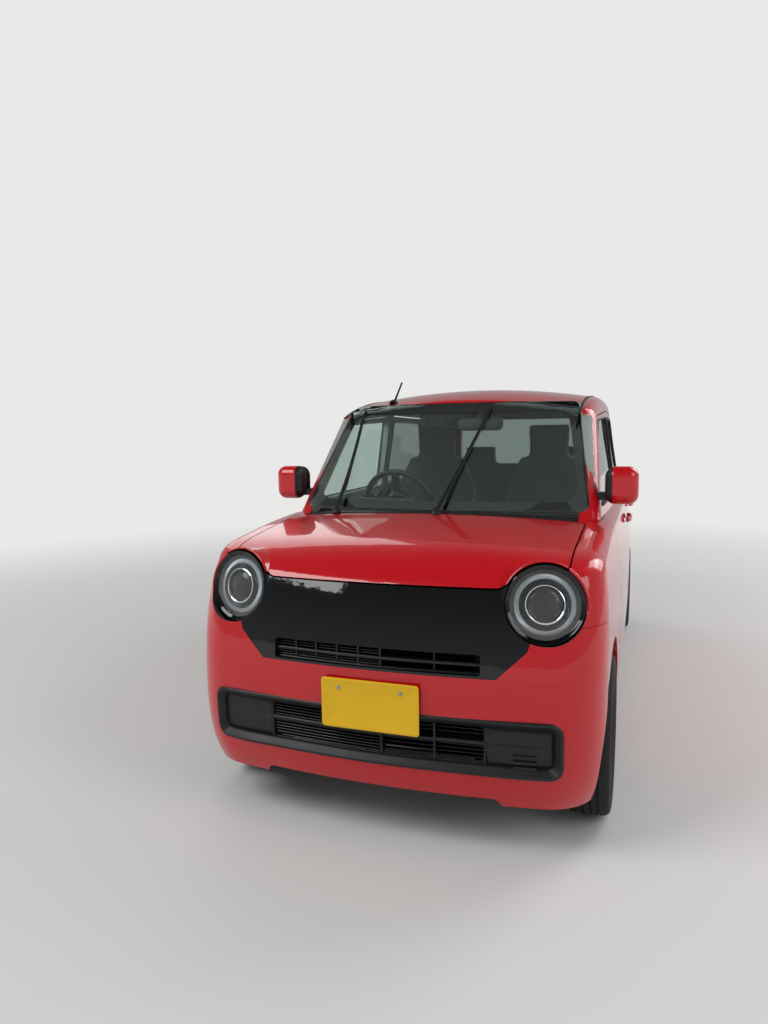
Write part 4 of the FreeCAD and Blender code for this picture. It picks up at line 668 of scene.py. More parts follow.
@dataclass
class Headlamp:
    """Round lamps: dark ring, knurled light guide, fanned bowl, bright ring, projector and clear cover."""

    x: float = 0.533
    station: float = 0.122
    z: float = 0.811
    turn: float = 14.0
    lean: float = 11.0
    radius: float = 0.1245
    cover_radius: float = 0.109
    guide: tuple[float, float] = (0.081, 0.097)
    bright_radius: float = 0.0620
    optic_radius: float = 0.0565
    optic_rise: float = 0.0013
    steps: int = 96

    def __post_init__(self) -> None:
        """Works out the ring's centre and the lamp's axis."""
        turn, lean = math.radians(self.turn), math.radians(self.lean)
        self.axis = np.array([math.sin(turn) * math.cos(lean), -math.cos(turn) * math.cos(lean),
                              math.sin(lean)])
        self.centre = np.array([self.x, at(self.station), self.z])

    def _turned(self, profile: Sequence[tuple[float, float]], steps: int | None = None) -> np.ndarray:
        """Profile turned about the lamp's axis."""
        return turned(profile, self.centre, self.axis, steps or self.steps)

    def _rippled(self, radii: tuple[float, float], depths: tuple[float, float], count: int,
                 height: float) -> np.ndarray:
        """Cone with radial ribs: its depth gains height*cos(count*angle)*sin(pi*way from edge to edge).

        Args:
            radii: outer and inner radius.
            depths: place along the axis at each.
            count: ribs round the cone.
            height: half the ribs' height.

        Returns:
            Grid of points.
        """
        rows, steps = 7, count * 6
        share = np.linspace(0, 1, rows)
        crown = np.sin(share * math.pi)
        profile = np.stack([np.interp(share, (0, 1), radii), np.interp(share, (0, 1), depths)], 1)
        turn = np.linspace(0, math.tau, steps, endpoint=False)
        lift = height * (np.cos(count * turn)[None, :] + 1) * crown[:, None]
        return self._turned(profile, steps) + lift[..., None] * self.axis

    def build(self) -> None:
        """Makes the ring, guide, bowl, bright ring, optic and cover on both sides."""
        r, c = self.radius, self.cover_radius
        form = Form()
        form.grid(self._turned([
            (r, -0.034), (r, -0.001), (r - 0.0008, 0.0026), (r - 0.0028, 0.0044), (r - 0.0050, 0.0040),
            (r - 0.0064, 0.0022), (r - 0.0100, 0.0006), (c, -0.0030), (c, -0.0120), (c, -0.060), (r, -0.060),
            (r, -0.034),
        ]), both=True)
        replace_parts(form.make("lamp_rings", PIANO, "car_body"), "headlamps")
        form = Form()
        outer, inner = self.guide
        form.grid(self._turned([
            (c - 0.0005, -0.0130), (c - 0.004, -0.0145), (outer, -0.0140), (outer, -0.0200),
            (inner, -0.0200), (inner - 0.001, -0.0145), (inner - 0.006, -0.0230),
        ]), both=True)
        form.grid(self._turned([(c - 0.0005, -0.0130), (c - 0.0005, -0.058), (0.0001, -0.058)]), both=True)
        form.make("lamp_housings", HOUSING, "car_body", outward=False)
        form = Form()
        form.grid(self._rippled((outer - 0.0004, inner + 0.0004), (-0.0125, -0.0150), 150, 0.0007), both=True)
        form.make("lamp_guides", GUIDE, "car_body", 60.0, outward=False)
        form = Form()
        form.grid(self._rippled((inner - 0.004, self.bright_radius - 0.002), (-0.0200, -0.0420), 48, 0.0009),
                  both=True)
        form.make("lamp_bowls", BOWL, "car_body", 60.0, outward=False)
        form = Form()
        b, o = self.bright_radius, self.optic_radius
        ring = self._turned([(b, -0.046), (b, -0.0090), (b - 0.0012, -0.0058), (b - 0.0036, -0.0050),
                             (o + 0.0006, -0.0066), (o, -0.0100), (o, -0.0400)])
        up = np.array([0.0, 0.0, 1.0]) - self.axis * self.axis[2]
        ring[4:] += self.optic_rise * up
        form.grid(ring, both=True)
        form.make("lamp_bright_rings", CHROME, "car_body", outward=False)
        form = Form()
        bulge = np.linspace(0, math.pi / 2, 20)
        dome = np.stack([(o - 0.0005) * np.cos(bulge), -0.0240 + 0.0215 * np.sin(bulge)], 1)
        lens = self._turned([(0.0001, -0.0405), (o - 0.0005, -0.0405), *map(tuple, dome[:-1]),
                             (0.0001, -0.0025)])
        form.grid(lens + self.optic_rise * up, both=True)
        # The optic's finish is opaque dark navy: painted shade of the lamp's unlit inside
        form.make("lamp_optics", SHADED_OPTIC, "car_body")
        form = Form()
        edge, rise, wall = c - 0.0006, 0.0100, 0.0022
        spread = np.linspace(1, 0.001, 18)
        outer_skin = np.stack([edge * spread, -0.0032 + rise * (1 - spread**2)], 1)
        inner_skin = np.stack([edge * spread[::-1], -0.0032 - wall + rise * (1 - spread[::-1] ** 2)], 1)
        form.grid(self._turned([*map(tuple, outer_skin), *map(tuple, inner_skin), tuple(outer_skin[0])]),
                  both=True)
        form.make("lamp_covers", COVER, "car_body").visible_shadow = False


@dataclass
class Intakes:
    """Louvres, pockets and frames of the two intakes, the radiator behind them and the bare number plate."""

    upper: tuple[float, float, float] = (0.350, 0.598, 0.662)
    lower: tuple[float, float, float] = (0.597, 0.283, 0.462)
    louvre_ends: tuple[float, float, float] = (-0.372, 0.028, 0.362)
    post_x: float = 0.203
    lower_bar: float = 0.380
    pocket_depth: float = 0.0225
    core_half: float = 0.315
    core_depth: float = 0.128
    core_heights: tuple[float, float] = (0.290, 0.664)
    tube_pitch: float = 0.010
    plate_z: float = 0.4775

    def __post_init__(self) -> None:
        """Fits the nose's face, which every bar follows."""
        self.face = FittedFace(["front_bumper", "grille_panel"], 1, -1, 6, lambda p: np.abs(p[:, 0]) < 0.64)

    def _bar(self, form: Form, x: tuple[float, float], z: tuple[float, float], depth: tuple[float, float],
             pieces: int = 20) -> None:
        """Level bar that bows with the nose.

        Args:
            form: gets the bar.
            x: its ends.
            z: its lowest and highest height.
            depth: how far behind the nose's face it begins and ends.
            pieces: steps along it.
        """
        along = np.linspace(*x, pieces)
        face = self.face(along, sum(z) / 2)
        bevel = min(0.002, (z[1] - z[0]) / 4)
        ring = [(depth[1], z[0]), (depth[0] + bevel, z[0]), (depth[0], z[0] + bevel),
                (depth[0], z[1] - bevel), (depth[0] + bevel, z[1]), (depth[1], z[1])]
        sides = [np.stack([along, face + back, np.full_like(along, height)], 1) for back, height in ring]
        form.grid(capped(np.stack(sides, 1)))

    def _post(self, form: Form, x: float, width: float, z: tuple[float, float],
              depth: tuple[float, float]) -> None:
        """Upright post."""
        face = float(self.face(x, sum(z) / 2))
        form.boxes([x - width / 2, face + depth[0], z[0]], [x + width / 2, face + depth[1], z[1]])

    def _louvres(self, form: Form, x: tuple[float, float], z: tuple[float, float], pitch: float,
                 depth: tuple[float, float], corner: float = 0.0) -> None:
        """Even slats between two heights.

        Args:
            form: gets the slats.
            x: their ends.
            z: the lowest and highest slat.
            pitch: from slat to slat.
            depth: how far behind the nose's face they begin and end.
            corner: radius of the lower corner at the first end, where the slats stop short.
        """
        for height in np.arange(z[0], z[1] + 1e-6, pitch):
            rise = max(corner - (height - z[0]), 0.0)
            start = x[0] + corner - math.sqrt(max(corner**2 - rise**2, 0.0))
            self._bar(form, (start, x[1]), (height - 0.0017, height + 0.0017), depth)

    def build(self) -> None:
        """Makes both intakes, the radiator and the plate."""
        form = Form()
        left, middle, right = self.louvre_ends
        half_span, low, high = self.upper
        centre = (low + high) / 2 - 0.002
        for z in (low, high):
            self._bar(form, (-half_span, half_span), (z - 0.004, z + 0.004), (0.014, 0.032))
        self._bar(form, (-half_span, half_span), (centre - 0.005, centre + 0.005), (0.010, 0.032))
        self._louvres(form, (-half_span, middle), (low + 0.009, centre - 0.008), 0.0085, (0.018, 0.032))
        self._louvres(form, (-half_span, middle), (centre + 0.012, high - 0.006), 0.0085, (0.018, 0.032))
        for x in np.linspace(-half_span, middle, 6):
            self._post(form, x, 0.005, (low, high), (0.013, 0.034))
        for x in (self.post_x, half_span - 0.002):
            self._post(form, x, 0.004, (low, high), (0.014, 0.034))
        half_span, low, high = self.lower
        centre = self.lower_bar
        self._louvres(form, (left, middle), (low + 0.034, high - 0.004), 0.0105, (0.026, 0.040), 0.030)
        self._louvres(form, (middle, right), (low + 0.036, high - 0.004), 0.0135, (0.046, 0.060))
        for z in (centre, high + 0.002):
            self._bar(form, (left, right), (z - 0.006, z + 0.006), (0.020, 0.044))
        for x in (left, middle, self.post_x, right):
            self._post(form, x, 0.006, (low + 0.030, high), (0.021, 0.060))
        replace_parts(form.make("intake_louvres", LATTICE, "car_body"), "front_grilles")
        self._lower_frame()
        self._radiator()
        self._plate()

    def _lower_frame(self) -> None:
        """Bevelled frame of the lower intake with a flat pocket at each end.

        The rounded outline is carried inward in five steps; the last one is the flat floor's edge. The
        middle stays open between the louvres' ends.
        """
        half_span, low, high = self.lower
        form = Form()
        count = 220
        rings = []
        for margin, back in ((-0.002, 0.012), (-0.001, -0.001), (0.0015, -0.0035), (0.006, -0.0030),
                             (0.020, 0.014), (0.028, 0.022)):
            loop = evened(rounded(2 * (half_span - margin), high - low - 2 * margin, 0.036 - margin * 0.6, 9),
                          count)
            x, z = loop[:, 0], loop[:, 1] + (high + low) / 2
            rings.append(np.stack([x, self.face(x, z) + back, z], 1))
        form.grid(np.stack(rings))
        left, _, right = self.louvre_ends
        for x0, x1 in ((-half_span + 0.026, left), (right, half_span - 0.026)):
            x, z = np.meshgrid(np.linspace(x0, x1, 14), np.linspace(low + 0.026, high - 0.026, 8))
            form.grid(np.stack([x, self.face(x, z) + self.pocket_depth, z], -1), wrap=False)
        for z0, z1 in ((low + 0.018, low + 0.031), (high - 0.029, high - 0.018)):
            x, z = np.meshgrid(np.linspace(left, right, 30), np.array([z0, z1]))
            form.grid(np.stack([x, self.face(x, z) + self.pocket_depth, z], -1), wrap=False)
        made = form.make("intake_frame", SATIN, "car_body", outward=False)
        wall = made.modifiers.new("wall", "SOLIDIFY")
        wall.thickness = 0.0022
        trim = Form()
        for x in ((-0.532, left), (right, 0.532)):
            self._bar(trim, x, (0.3785, 0.3815), (0.0185, 0.024), 12)
        for z in (0.310, 0.328, 0.346):
            self._bar(trim, (0.448, 0.519), (z - 0.0050, z + 0.0050), (0.0130, 0.024), 8)
        trim.make("intake_pocket_bars", SATIN, "car_body")

    def _radiator(self) -> None:
        """Radiator seen through the louvres: flat tubes with a zigzag of fins between them."""
        form = Form()
        y, half_span, folds = NOSE + self.core_depth, self.core_half, 190
        x = np.linspace(-half_span, half_span, folds)
        low, high = self.core_heights
        for z in np.arange(low + 0.010, high - 0.004, self.tube_pitch):
            form.boxes([-half_span, y - 0.010, z - 0.0010], [half_span, y + 0.010, z + 0.0010])
            zigzag = z + 0.005 + 0.0039 * np.where(np.arange(folds) % 2, 1, -1)
            fins = [np.stack([x, np.full(folds, y + depth), zigzag], 1) for depth in (-0.009, 0.009)]
            form.grid(np.stack(fins), wrap=False)
        for x0 in (-half_span - 0.024, half_span):
            form.boxes([x0, y - 0.016, low], [x0 + 0.024, y + 0.016, high])
        form.make("radiator", CORE, "car_body", 20.0, outward=False)

    def _plate(self) -> None:
        """Bare yellow plate with a pressed rim on its bracket, held by two screws."""
        back = np.array([0.0, NOSE - 0.0072, self.plate_z])
        number_plate("number_plate_front", PLATE_SIZE, back, -1.0, "car_body")
        y = NOSE - 0.0064
        form = Form()
        form.boxes([[-0.150, y, self.plate_z - 0.072], [-0.110, y + 0.004, self.plate_z + 0.015],
                    [0.080, y + 0.004, self.plate_z + 0.015]],
                   [[0.150, y + 0.005, self.plate_z + 0.072], [-0.080, NOSE + 0.024, self.plate_z + 0.062],
                    [0.110, NOSE + 0.024, self.plate_z + 0.062]])
        form.make("plate_bracket", SATIN, "car_body")


@dataclass
class Glazing:
    """Panes, the windscreen's black border, the inner mirror and the wipers."""

    foot: tuple[float, float] = (0.612, 1.015)
    head: tuple[float, float] = (0.532, 1.464)
    mirror: tuple[float, float, float] = (0.095, at(1.232), 1.366)
    mirror_foot_z: float = 1.425
    # x and height of each wiper's pivot and tip
    wiper_lines: tuple = (((-0.428, 1.008), (-0.462, 1.440)), ((0.016, 1.012), (0.154, 1.446)))

    def __post_init__(self) -> None:
        """Fits the windscreen's outer face."""
        self.screen = FittedFace(["windscreen"], 1, -1, 6)

    def dress(self) -> None:
        """Gives the panes their glass, and lets the lamps light the cabin through them."""
        for name in ("windscreen", "door_glass_front_left", "door_glass_front_right"):
            dress(name, CLEAR_GLASS)
            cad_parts[name].visible_shadow = False
        for name in ("door_glass_rear_left", "door_glass_rear_right", "tailgate_glass"):
            dress(name, DARK_GLASS)
            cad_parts[name].visible_shadow = False

    def border(self) -> None:
        """Black border behind the glass, 34 mm wide below, 40 mm at the sides and 46 mm at the head."""
        loops = []
        for side_in, low_in, high_in, radius in ((0.004, 0.003, 0.003, 0.030), (0.042, 0.034, 0.049, 0.060)):
            low, high = self.foot[0] - side_in, self.head[0] - side_in
            loops.append(evened(outline([(low, self.foot[1] + low_in, radius),
                                         (high, self.head[1] - high_in, radius),
                                         (-high, self.head[1] - high_in, radius),
                                         (-low, self.foot[1] + low_in, radius)]), 280))
        middle = (loops[0] + loops[1]) / 2
        form = Form()
        form.grid(strip([(loops[0], 0.0072), (middle, 0.0072), (loops[1], 0.0072), (loops[1], 0.0080),
                         (middle, 0.0080), (loops[0], 0.0080)], self.screen, 1, 1))
        form.make("screen_border", FRIT, "car_body")

    def inner_mirror(self) -> None:
        """Mirror on a stalk behind the head of the screen: a rounded block that swells forward."""
        centre = np.array(self.mirror)
        rings = []
        for back, share in ((0.0, 0.96), (0.002, 1.0), (-0.012, 0.99), (-0.022, 0.86), (-0.030, 0.5)):
            loop = rounded(0.210, 0.062, 0.028, 8) * share
            rings.append(centre + np.insert(loop, 1, back, 1))
        form = Form()
        form.grid(capped(np.stack(rings)))
        foot_z = self.mirror_foot_z
        foot = (centre[0], float(self.screen(centre[0], foot_z)) + 0.012, foot_z)
        share = np.linspace(0, 1, 8)[:, None]
        path = (centre + (0, -0.020, 0.010)) * (1 - share) + np.array(foot) * share
        form.bar(path, rounded(0.016, 0.016, 0.006), (1, 0, 0))
        form.turn([(0.0001, 0.014), (0.020, 0.012), (0.028, 0.004), (0.030, 0.0), (0.030, -0.002)], foot,
                  (0, 0.76, -0.65), 32)
        form.make("inner_mirror", DASH, "car_body")

    def wipers(self) -> None:
        """Two wipers that stand upright on the glass: pivot cap, tapered arm and a blade with its rubber."""
        form = Form()
        for (x0, z0), (x1, z1) in self.wiper_lines:
            share = np.linspace(0, 1, 40)
            x, z = x0 + (x1 - x0) * share, z0 + (z1 - z0) * share
            lift = 0.030 * np.clip(1 - share / 0.35, 0, 1) + 0.016
            path = np.stack([x, self.screen(x, z) - lift, z], 1)
            arm = path[:24]
            width = np.linspace(0.020, 0.009, len(arm))[:, None, None]
            form.bar(arm, rounded(1.0, 0.45, 0.2, 3) * width, (0, -1, 0))
            blade = np.stack([x, self.screen(x, z) - 0.008, z], 1)[7:]
            taper = np.interp(np.linspace(0, 1, len(blade)), (0, 0.08, 0.92, 1), (0.4, 1, 1, 0.4))
            form.bar(blade, rounded(0.014, 0.009, 0.003, 3) * taper[:, None, None], (0, -1, 0))
            rubber = np.stack([x, self.screen(x, z) - 0.002, z], 1)[7:]
            form.bar(rubber, rounded(0.003, 0.007, 0.001, 2), (0, -1, 0))
            form.turn([(0.0001, 0.018), (0.010, 0.017), (0.016, 0.012), (0.017, 0.0), (0.017, -0.028)],
                      path[0] + (0, 0.004, -0.004), (0, -0.75, 0.66), 28)
        form.make("wipers", SATIN, "car_body")


@dataclass
class RoofLine:
    """Dark mouldings along the roof's sides and the short antenna."""

    moulding_x: float = 0.541
    moulding_stations: tuple[float, float] = (1.150, 3.020)
    antenna: tuple[float, float] = (-0.345, at(1.300))
    antenna_lean: tuple[float, float, float] = (0.12, 0.62, 0.78)

    def build(self) -> None:
        """Makes the mouldings and the antenna."""
        roof = FittedFace(["roof_panel", "body_sides"], 2, 1, 6,
                          lambda p: (p[:, 2] > 1.43) & (np.abs(p[:, 0]) < 0.575))
        form = Form()
        y = at(np.linspace(*self.moulding_stations, 60))
        x = np.full_like(y, self.moulding_x)
        path = np.stack([x, y, roof(x, y)], 1)
        form.bar(path, rounded(0.013, 0.006, 0.0026, 4), (0, 0, 1), both=True)
        form.make("roof_mouldings", SATIN, "car_body")
        foot = np.array([*self.antenna, float(roof(*self.antenna))])
        mast = Form()
        mast.turn([(0.021, -0.006), (0.021, 0.004), (0.017, 0.012), (0.009, 0.018), (0.0055, 0.026),
                   (0.0048, 0.060), (0.0042, 0.125), (0.0048, 0.130), (0.0040, 0.135), (0.0001, 0.137)],
                  foot, self.antenna_lean, 24)
        mast.make("antenna", SEAL, "car_body")


@dataclass
class Cabin:
    """Padded seats, dashboard, steering wheel and trims."""

    frames: int = 20
    pressure: float = 4.0
    swell: float = 0.010
    slimmer: float = 0.004
    # piece, the CAD node that it stands for, and the remeshing size
    pads: tuple = (("seat_pads_front", "front_seats", 0.012), ("seat_pads_rear", "rear_seat", 0.013))

    def build(self) -> None:
        """Dresses the hard trims and pads the seats."""
        dress("dashboard", DASH)
        dress("steering_wheel", WRAP)
        for name, node, voxel in self.pads:
            self._padded(name, node, voxel)

    def _padded(self, name: str, node: str, voxel: float) -> None:
        """Copies a plain seat, rounds it by remeshing and swells it by cloth pressure.

        The copy starts slimmer along its normals. The cloth swells it, and no point moves more than the
        swell from where it started.

        Args:
            name: name of the new piece.
            node: the CAD node that it stands for.
            voxel: remeshing size in metres.
        """
        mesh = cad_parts[node].data.copy()
        mesh.name = name
        work = bmesh.new()
        work.from_mesh(mesh)
        bmesh.ops.remove_doubles(work, verts=work.verts, dist=1e-5)
        work.to_mesh(mesh)
        work.free()
        piece = bpy.data.objects.new(name, mesh)
        bpy.context.scene.collection.objects.link(piece)
        remesh = piece.modifiers.new("remesh", "REMESH")
        remesh.mode, remesh.voxel_size = "VOXEL", voxel
        smooth = piece.modifiers.new("smooth", "SMOOTH")
        smooth.iterations, smooth.factor = 8, 0.8
        slim = piece.modifiers.new("slim", "DISPLACE")
        slim.strength, slim.mid_level = -self.slimmer, 0.0
        with bpy.context.temp_override(object=piece, active_object=piece):
            for step in ("remesh", "smooth", "slim"):
                bpy.ops.object.modifier_apply(modifier=step)
        self._swollen(piece)
        piece.data.materials.clear()
        piece.data.materials.append(CLOTH.material())
        piece.data.polygons.foreach_set("material_index", np.zeros(len(piece.data.polygons), np.int32))
        piece.data.shade_smooth()
        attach(piece, "car_body")
        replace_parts(piece, node)
        LOG.info("%s: %d faces", name, len(piece.data.polygons))

    def _swollen(self, piece: bpy.types.Object) -> None:
        """Runs the cloth on a closed pad and keeps its shape, capped."""
        count = len(piece.data.vertices)
        start = np.empty(count * 3)
        piece.data.vertices.foreach_get("co", start)
        cloth = piece.modifiers.new("cloth", "CLOTH")
        cloth.settings.use_pressure = True
        cloth.settings.uniform_pressure_force = self.pressure
        cloth.settings.effector_weights.gravity = 0.0
        cloth.settings.quality = 4
        for number in range(1, self.frames + 1):
            bpy.context.scene.frame_set(number)
        shaped = piece.evaluated_get(bpy.context.evaluated_depsgraph_get())
        end = np.empty(count * 3)
        shaped.data.vertices.foreach_get("co", end)
        move = (end - start).reshape(-1, 3)
        reach = np.linalg.norm(move, axis=1, keepdims=True)
        move *= np.minimum(1.0, self.swell / np.maximum(reach, 1e-9))
        piece.modifiers.remove(cloth)
        bpy.context.scene.frame_set(1)
        piece.data.vertices.foreach_set("co", (start.reshape(-1, 3) + move).reshape(-1))
        piece.data.update()


@dataclass
class RoadWheels:
    """Tyres with tread, and the dressed wheels with caps and nuts."""

    outer: float = 0.278
    bead: float = 0.1783
    half: float = 0.076
    steps: int = 180

    def _section(self) -> tuple[np.ndarray, np.ndarray]:
        """Tyre profile from the inner bead over the tread to the outer bead: x and radius."""
        side = np.array([(0.060, self.bead), (0.066, 0.184), (0.0665, 0.190), (0.072, 0.204), (0.0752, 0.222),
                         (0.0759, 0.236), (0.0745, 0.250), (0.0715, 0.259), (0.0720, 0.262), (0.066, 0.2690),
                         (0.058, 0.2745)])
        tread = np.array([(0.044, 0.2768), (0.0405, 0.2770), (0.0395, 0.2700), (0.0335, 0.2700),
                          (0.0325, 0.2776), (0.0165, 0.2779), (0.0155, 0.2705), (0.0095, 0.2705),
                          (0.0085, 0.2780), (0.0, 0.2780)])
        right = np.vstack([side, tread])
        whole = np.vstack([right * (-1, 1), right[::-1][1:]])
        return whole[:, 0], whole[:, 1]

    def build(self) -> None:
        """Makes the tyres and dresses the wheels."""
        x, radius = self._section()
        turn = np.linspace(0, math.tau, self.steps, endpoint=False)
        shoulder = (np.abs(x) > 0.043) & (radius > 0.268)
        sipe = shoulder[:, None] & (np.arange(self.steps) % 3 == 0)
        swept_radius = radius[:, None] - 0.0035 * sipe
        for end, y in (("front", FRONT_AXLE), ("rear", REAR_AXLE)):
            for side, word in SIDES:
                points = np.stack([
                    np.broadcast_to(x[:, None] + side * WHEEL_X, swept_radius.shape),
                    y + swept_radius * np.cos(turn), AXLE_Z + swept_radius * np.sin(turn),
                ], -1)
                form = Form()
                form.grid(np.concatenate([points, points[:1]]))
                body = f"{end}_wheel_{word}"
                tyre = form.make(f"tread_{end}_{word}", COMPOUND, body, 30.0)
                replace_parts(tyre, f"tyre_{end}_{word}")
                dress(f"wheel_{end}_{word}", ALLOY)
                hub = np.array([side * (WHEEL_X + 0.052), y, AXLE_Z])
                cap = Form()
                cap.turn([(0.0001, 0.010), (0.016, 0.009), (0.024, 0.006), (0.027, 0.0), (0.027, -0.004)],
                         hub, (side, 0, 0), 32)
                cap.make(f"cap_{end}_{word}", SATIN, body)
                nuts = Form()
                for k in range(4):
                    a = math.tau * (k + 0.5) / 4
                    place = hub + (-0.004 * side, 0.050 * math.cos(a), 0.050 * math.sin(a))
                    nuts.turn([(0.0001, 0.014), (0.006, 0.013), (0.0095, 0.010), (0.0098, -0.002)], place,
                              (side, 0, 0), 6)
                nuts.make(f"nuts_{end}_{word}", ZINC, body, 20.0)


@dataclass
class TailEnd:
    """Tail lamps, rear plate, its lamp bar, wiper, third brake lamp and reflectors."""

    plate_z: float = 0.790
    lamp_half: float = 0.235
    lamp_z: float = 0.915
    reflector_x: tuple[float, float] = (0.445, 0.565)
    reflector_z: float = 0.395
    brake_lamp_half: float = 0.105
    brake_lamp_z: float = 1.425
    # x and height of the wiper's spindle
    spindle: tuple[float, float] = (-0.02, 1.045)

    def build(self) -> None:
        """Dresses the lamps and makes what the tailgate and the rear bumper carry."""
        dress("tail_lamps", TAIL_LENS)
        gate = FittedFace(["tailgate"], 1, 1, 5, lambda p: (p[:, 2] < 1.0) & (np.abs(p[:, 0]) < 0.45))
        field_x, field_z = np.meshgrid(np.linspace(-0.165, 0.165, 9),
                                       self.plate_z + np.linspace(-0.083, 0.083, 7))
        middle = float(gate(field_x, field_z).max()) + 0.003
        number_plate("number_plate_rear", PLATE_SIZE, np.array([0.0, middle, self.plate_z]), 1.0, "rear_gate")
        form = Form()
        x = np.linspace(-self.lamp_half, self.lamp_half, 30)
        form.bar(face_line(x, gate, self.lamp_z, 0.007), rounded(0.030, 0.022, 0.006, 4), (0, 1, 0))
        form.boxes([[-0.140, middle - 0.045, 0.735], [0.080, middle - 0.045, 0.735]],
                   [[-0.080, middle - 0.0004, 0.845], [0.140, middle - 0.0004, 0.845]])
        form.make("plate_lamp_bar", SATIN, "rear_gate")
        self._brake_lamp()
        self._wiper()
        bumper = FittedFace(["rear_bumper"], 1, 1, 6, lambda p: np.abs(p[:, 0]) < 0.66)
        form = Form()
        for side in (-1, 1):
            x = np.linspace(*self.reflector_x, 12) * side
            path = face_line(x, bumper, self.reflector_z, 0.002)
            form.bar(path, rounded(0.030, 0.014, 0.003, 4), (0, 1, 0))
        form.make("rear_reflectors", RED_LENS, "car_body")

    def _brake_lamp(self) -> None:
        """Third brake lamp across the tailgate over its window."""
        head = FittedFace(["tailgate"], 1, 1, 3, lambda p: p[:, 2] > 1.40)
        x = np.linspace(-self.brake_lamp_half, self.brake_lamp_half, 16)
        form = Form()
        form.bar(face_line(x, head, self.brake_lamp_z, -0.001), rounded(0.016, 0.014, 0.004, 4), (0, 1, 0))
        form.make("third_brake_lamp", RED_LENS, "rear_gate")

    def _wiper(self) -> None:
        """Rear wiper: a spindle cap under the window, its arm and its blade on the glass."""
        pane = FittedFace(["tailgate", "tailgate_glass"], 1, 1, 5,
                          lambda p: (p[:, 2] > 0.98) & (p[:, 2] < 1.40))
        share = np.linspace(0, 1, 30)
        x0, z0 = self.spindle
        x, z = x0 + 0.300 * share, z0 + 0.055 * share
        path = np.stack([x, pane(x, z) + 0.030 - 0.010 * share, z], 1)
        width = np.linspace(0.022, 0.010, 30)[:, None, None]
        form = Form()
        form.bar(path, rounded(1.0, 0.5, 0.2, 3) * width, (0, 1, 0))
        x, z = 0.085 + 0.290 * share, 1.066 + 0.053 * share
        for lift, section in ((0.012, rounded(0.012, 0.008, 0.003, 3)),
                              (0.006, rounded(0.003, 0.007, 0.001, 2))):
            blade = np.stack([x, pane(x, z) + lift, z], 1)
            form.bar(blade, section, (0, 1, 0))
        form.turn([(0.0001, 0.040), (0.012, 0.038), (0.018, 0.030), (0.020, 0.0), (0.020, -0.006)],
                  (x0, float(pane(x0, z0)), z0), (0, 1, 0.1), 32)
        form.make("rear_wiper", SATIN, "rear_gate")


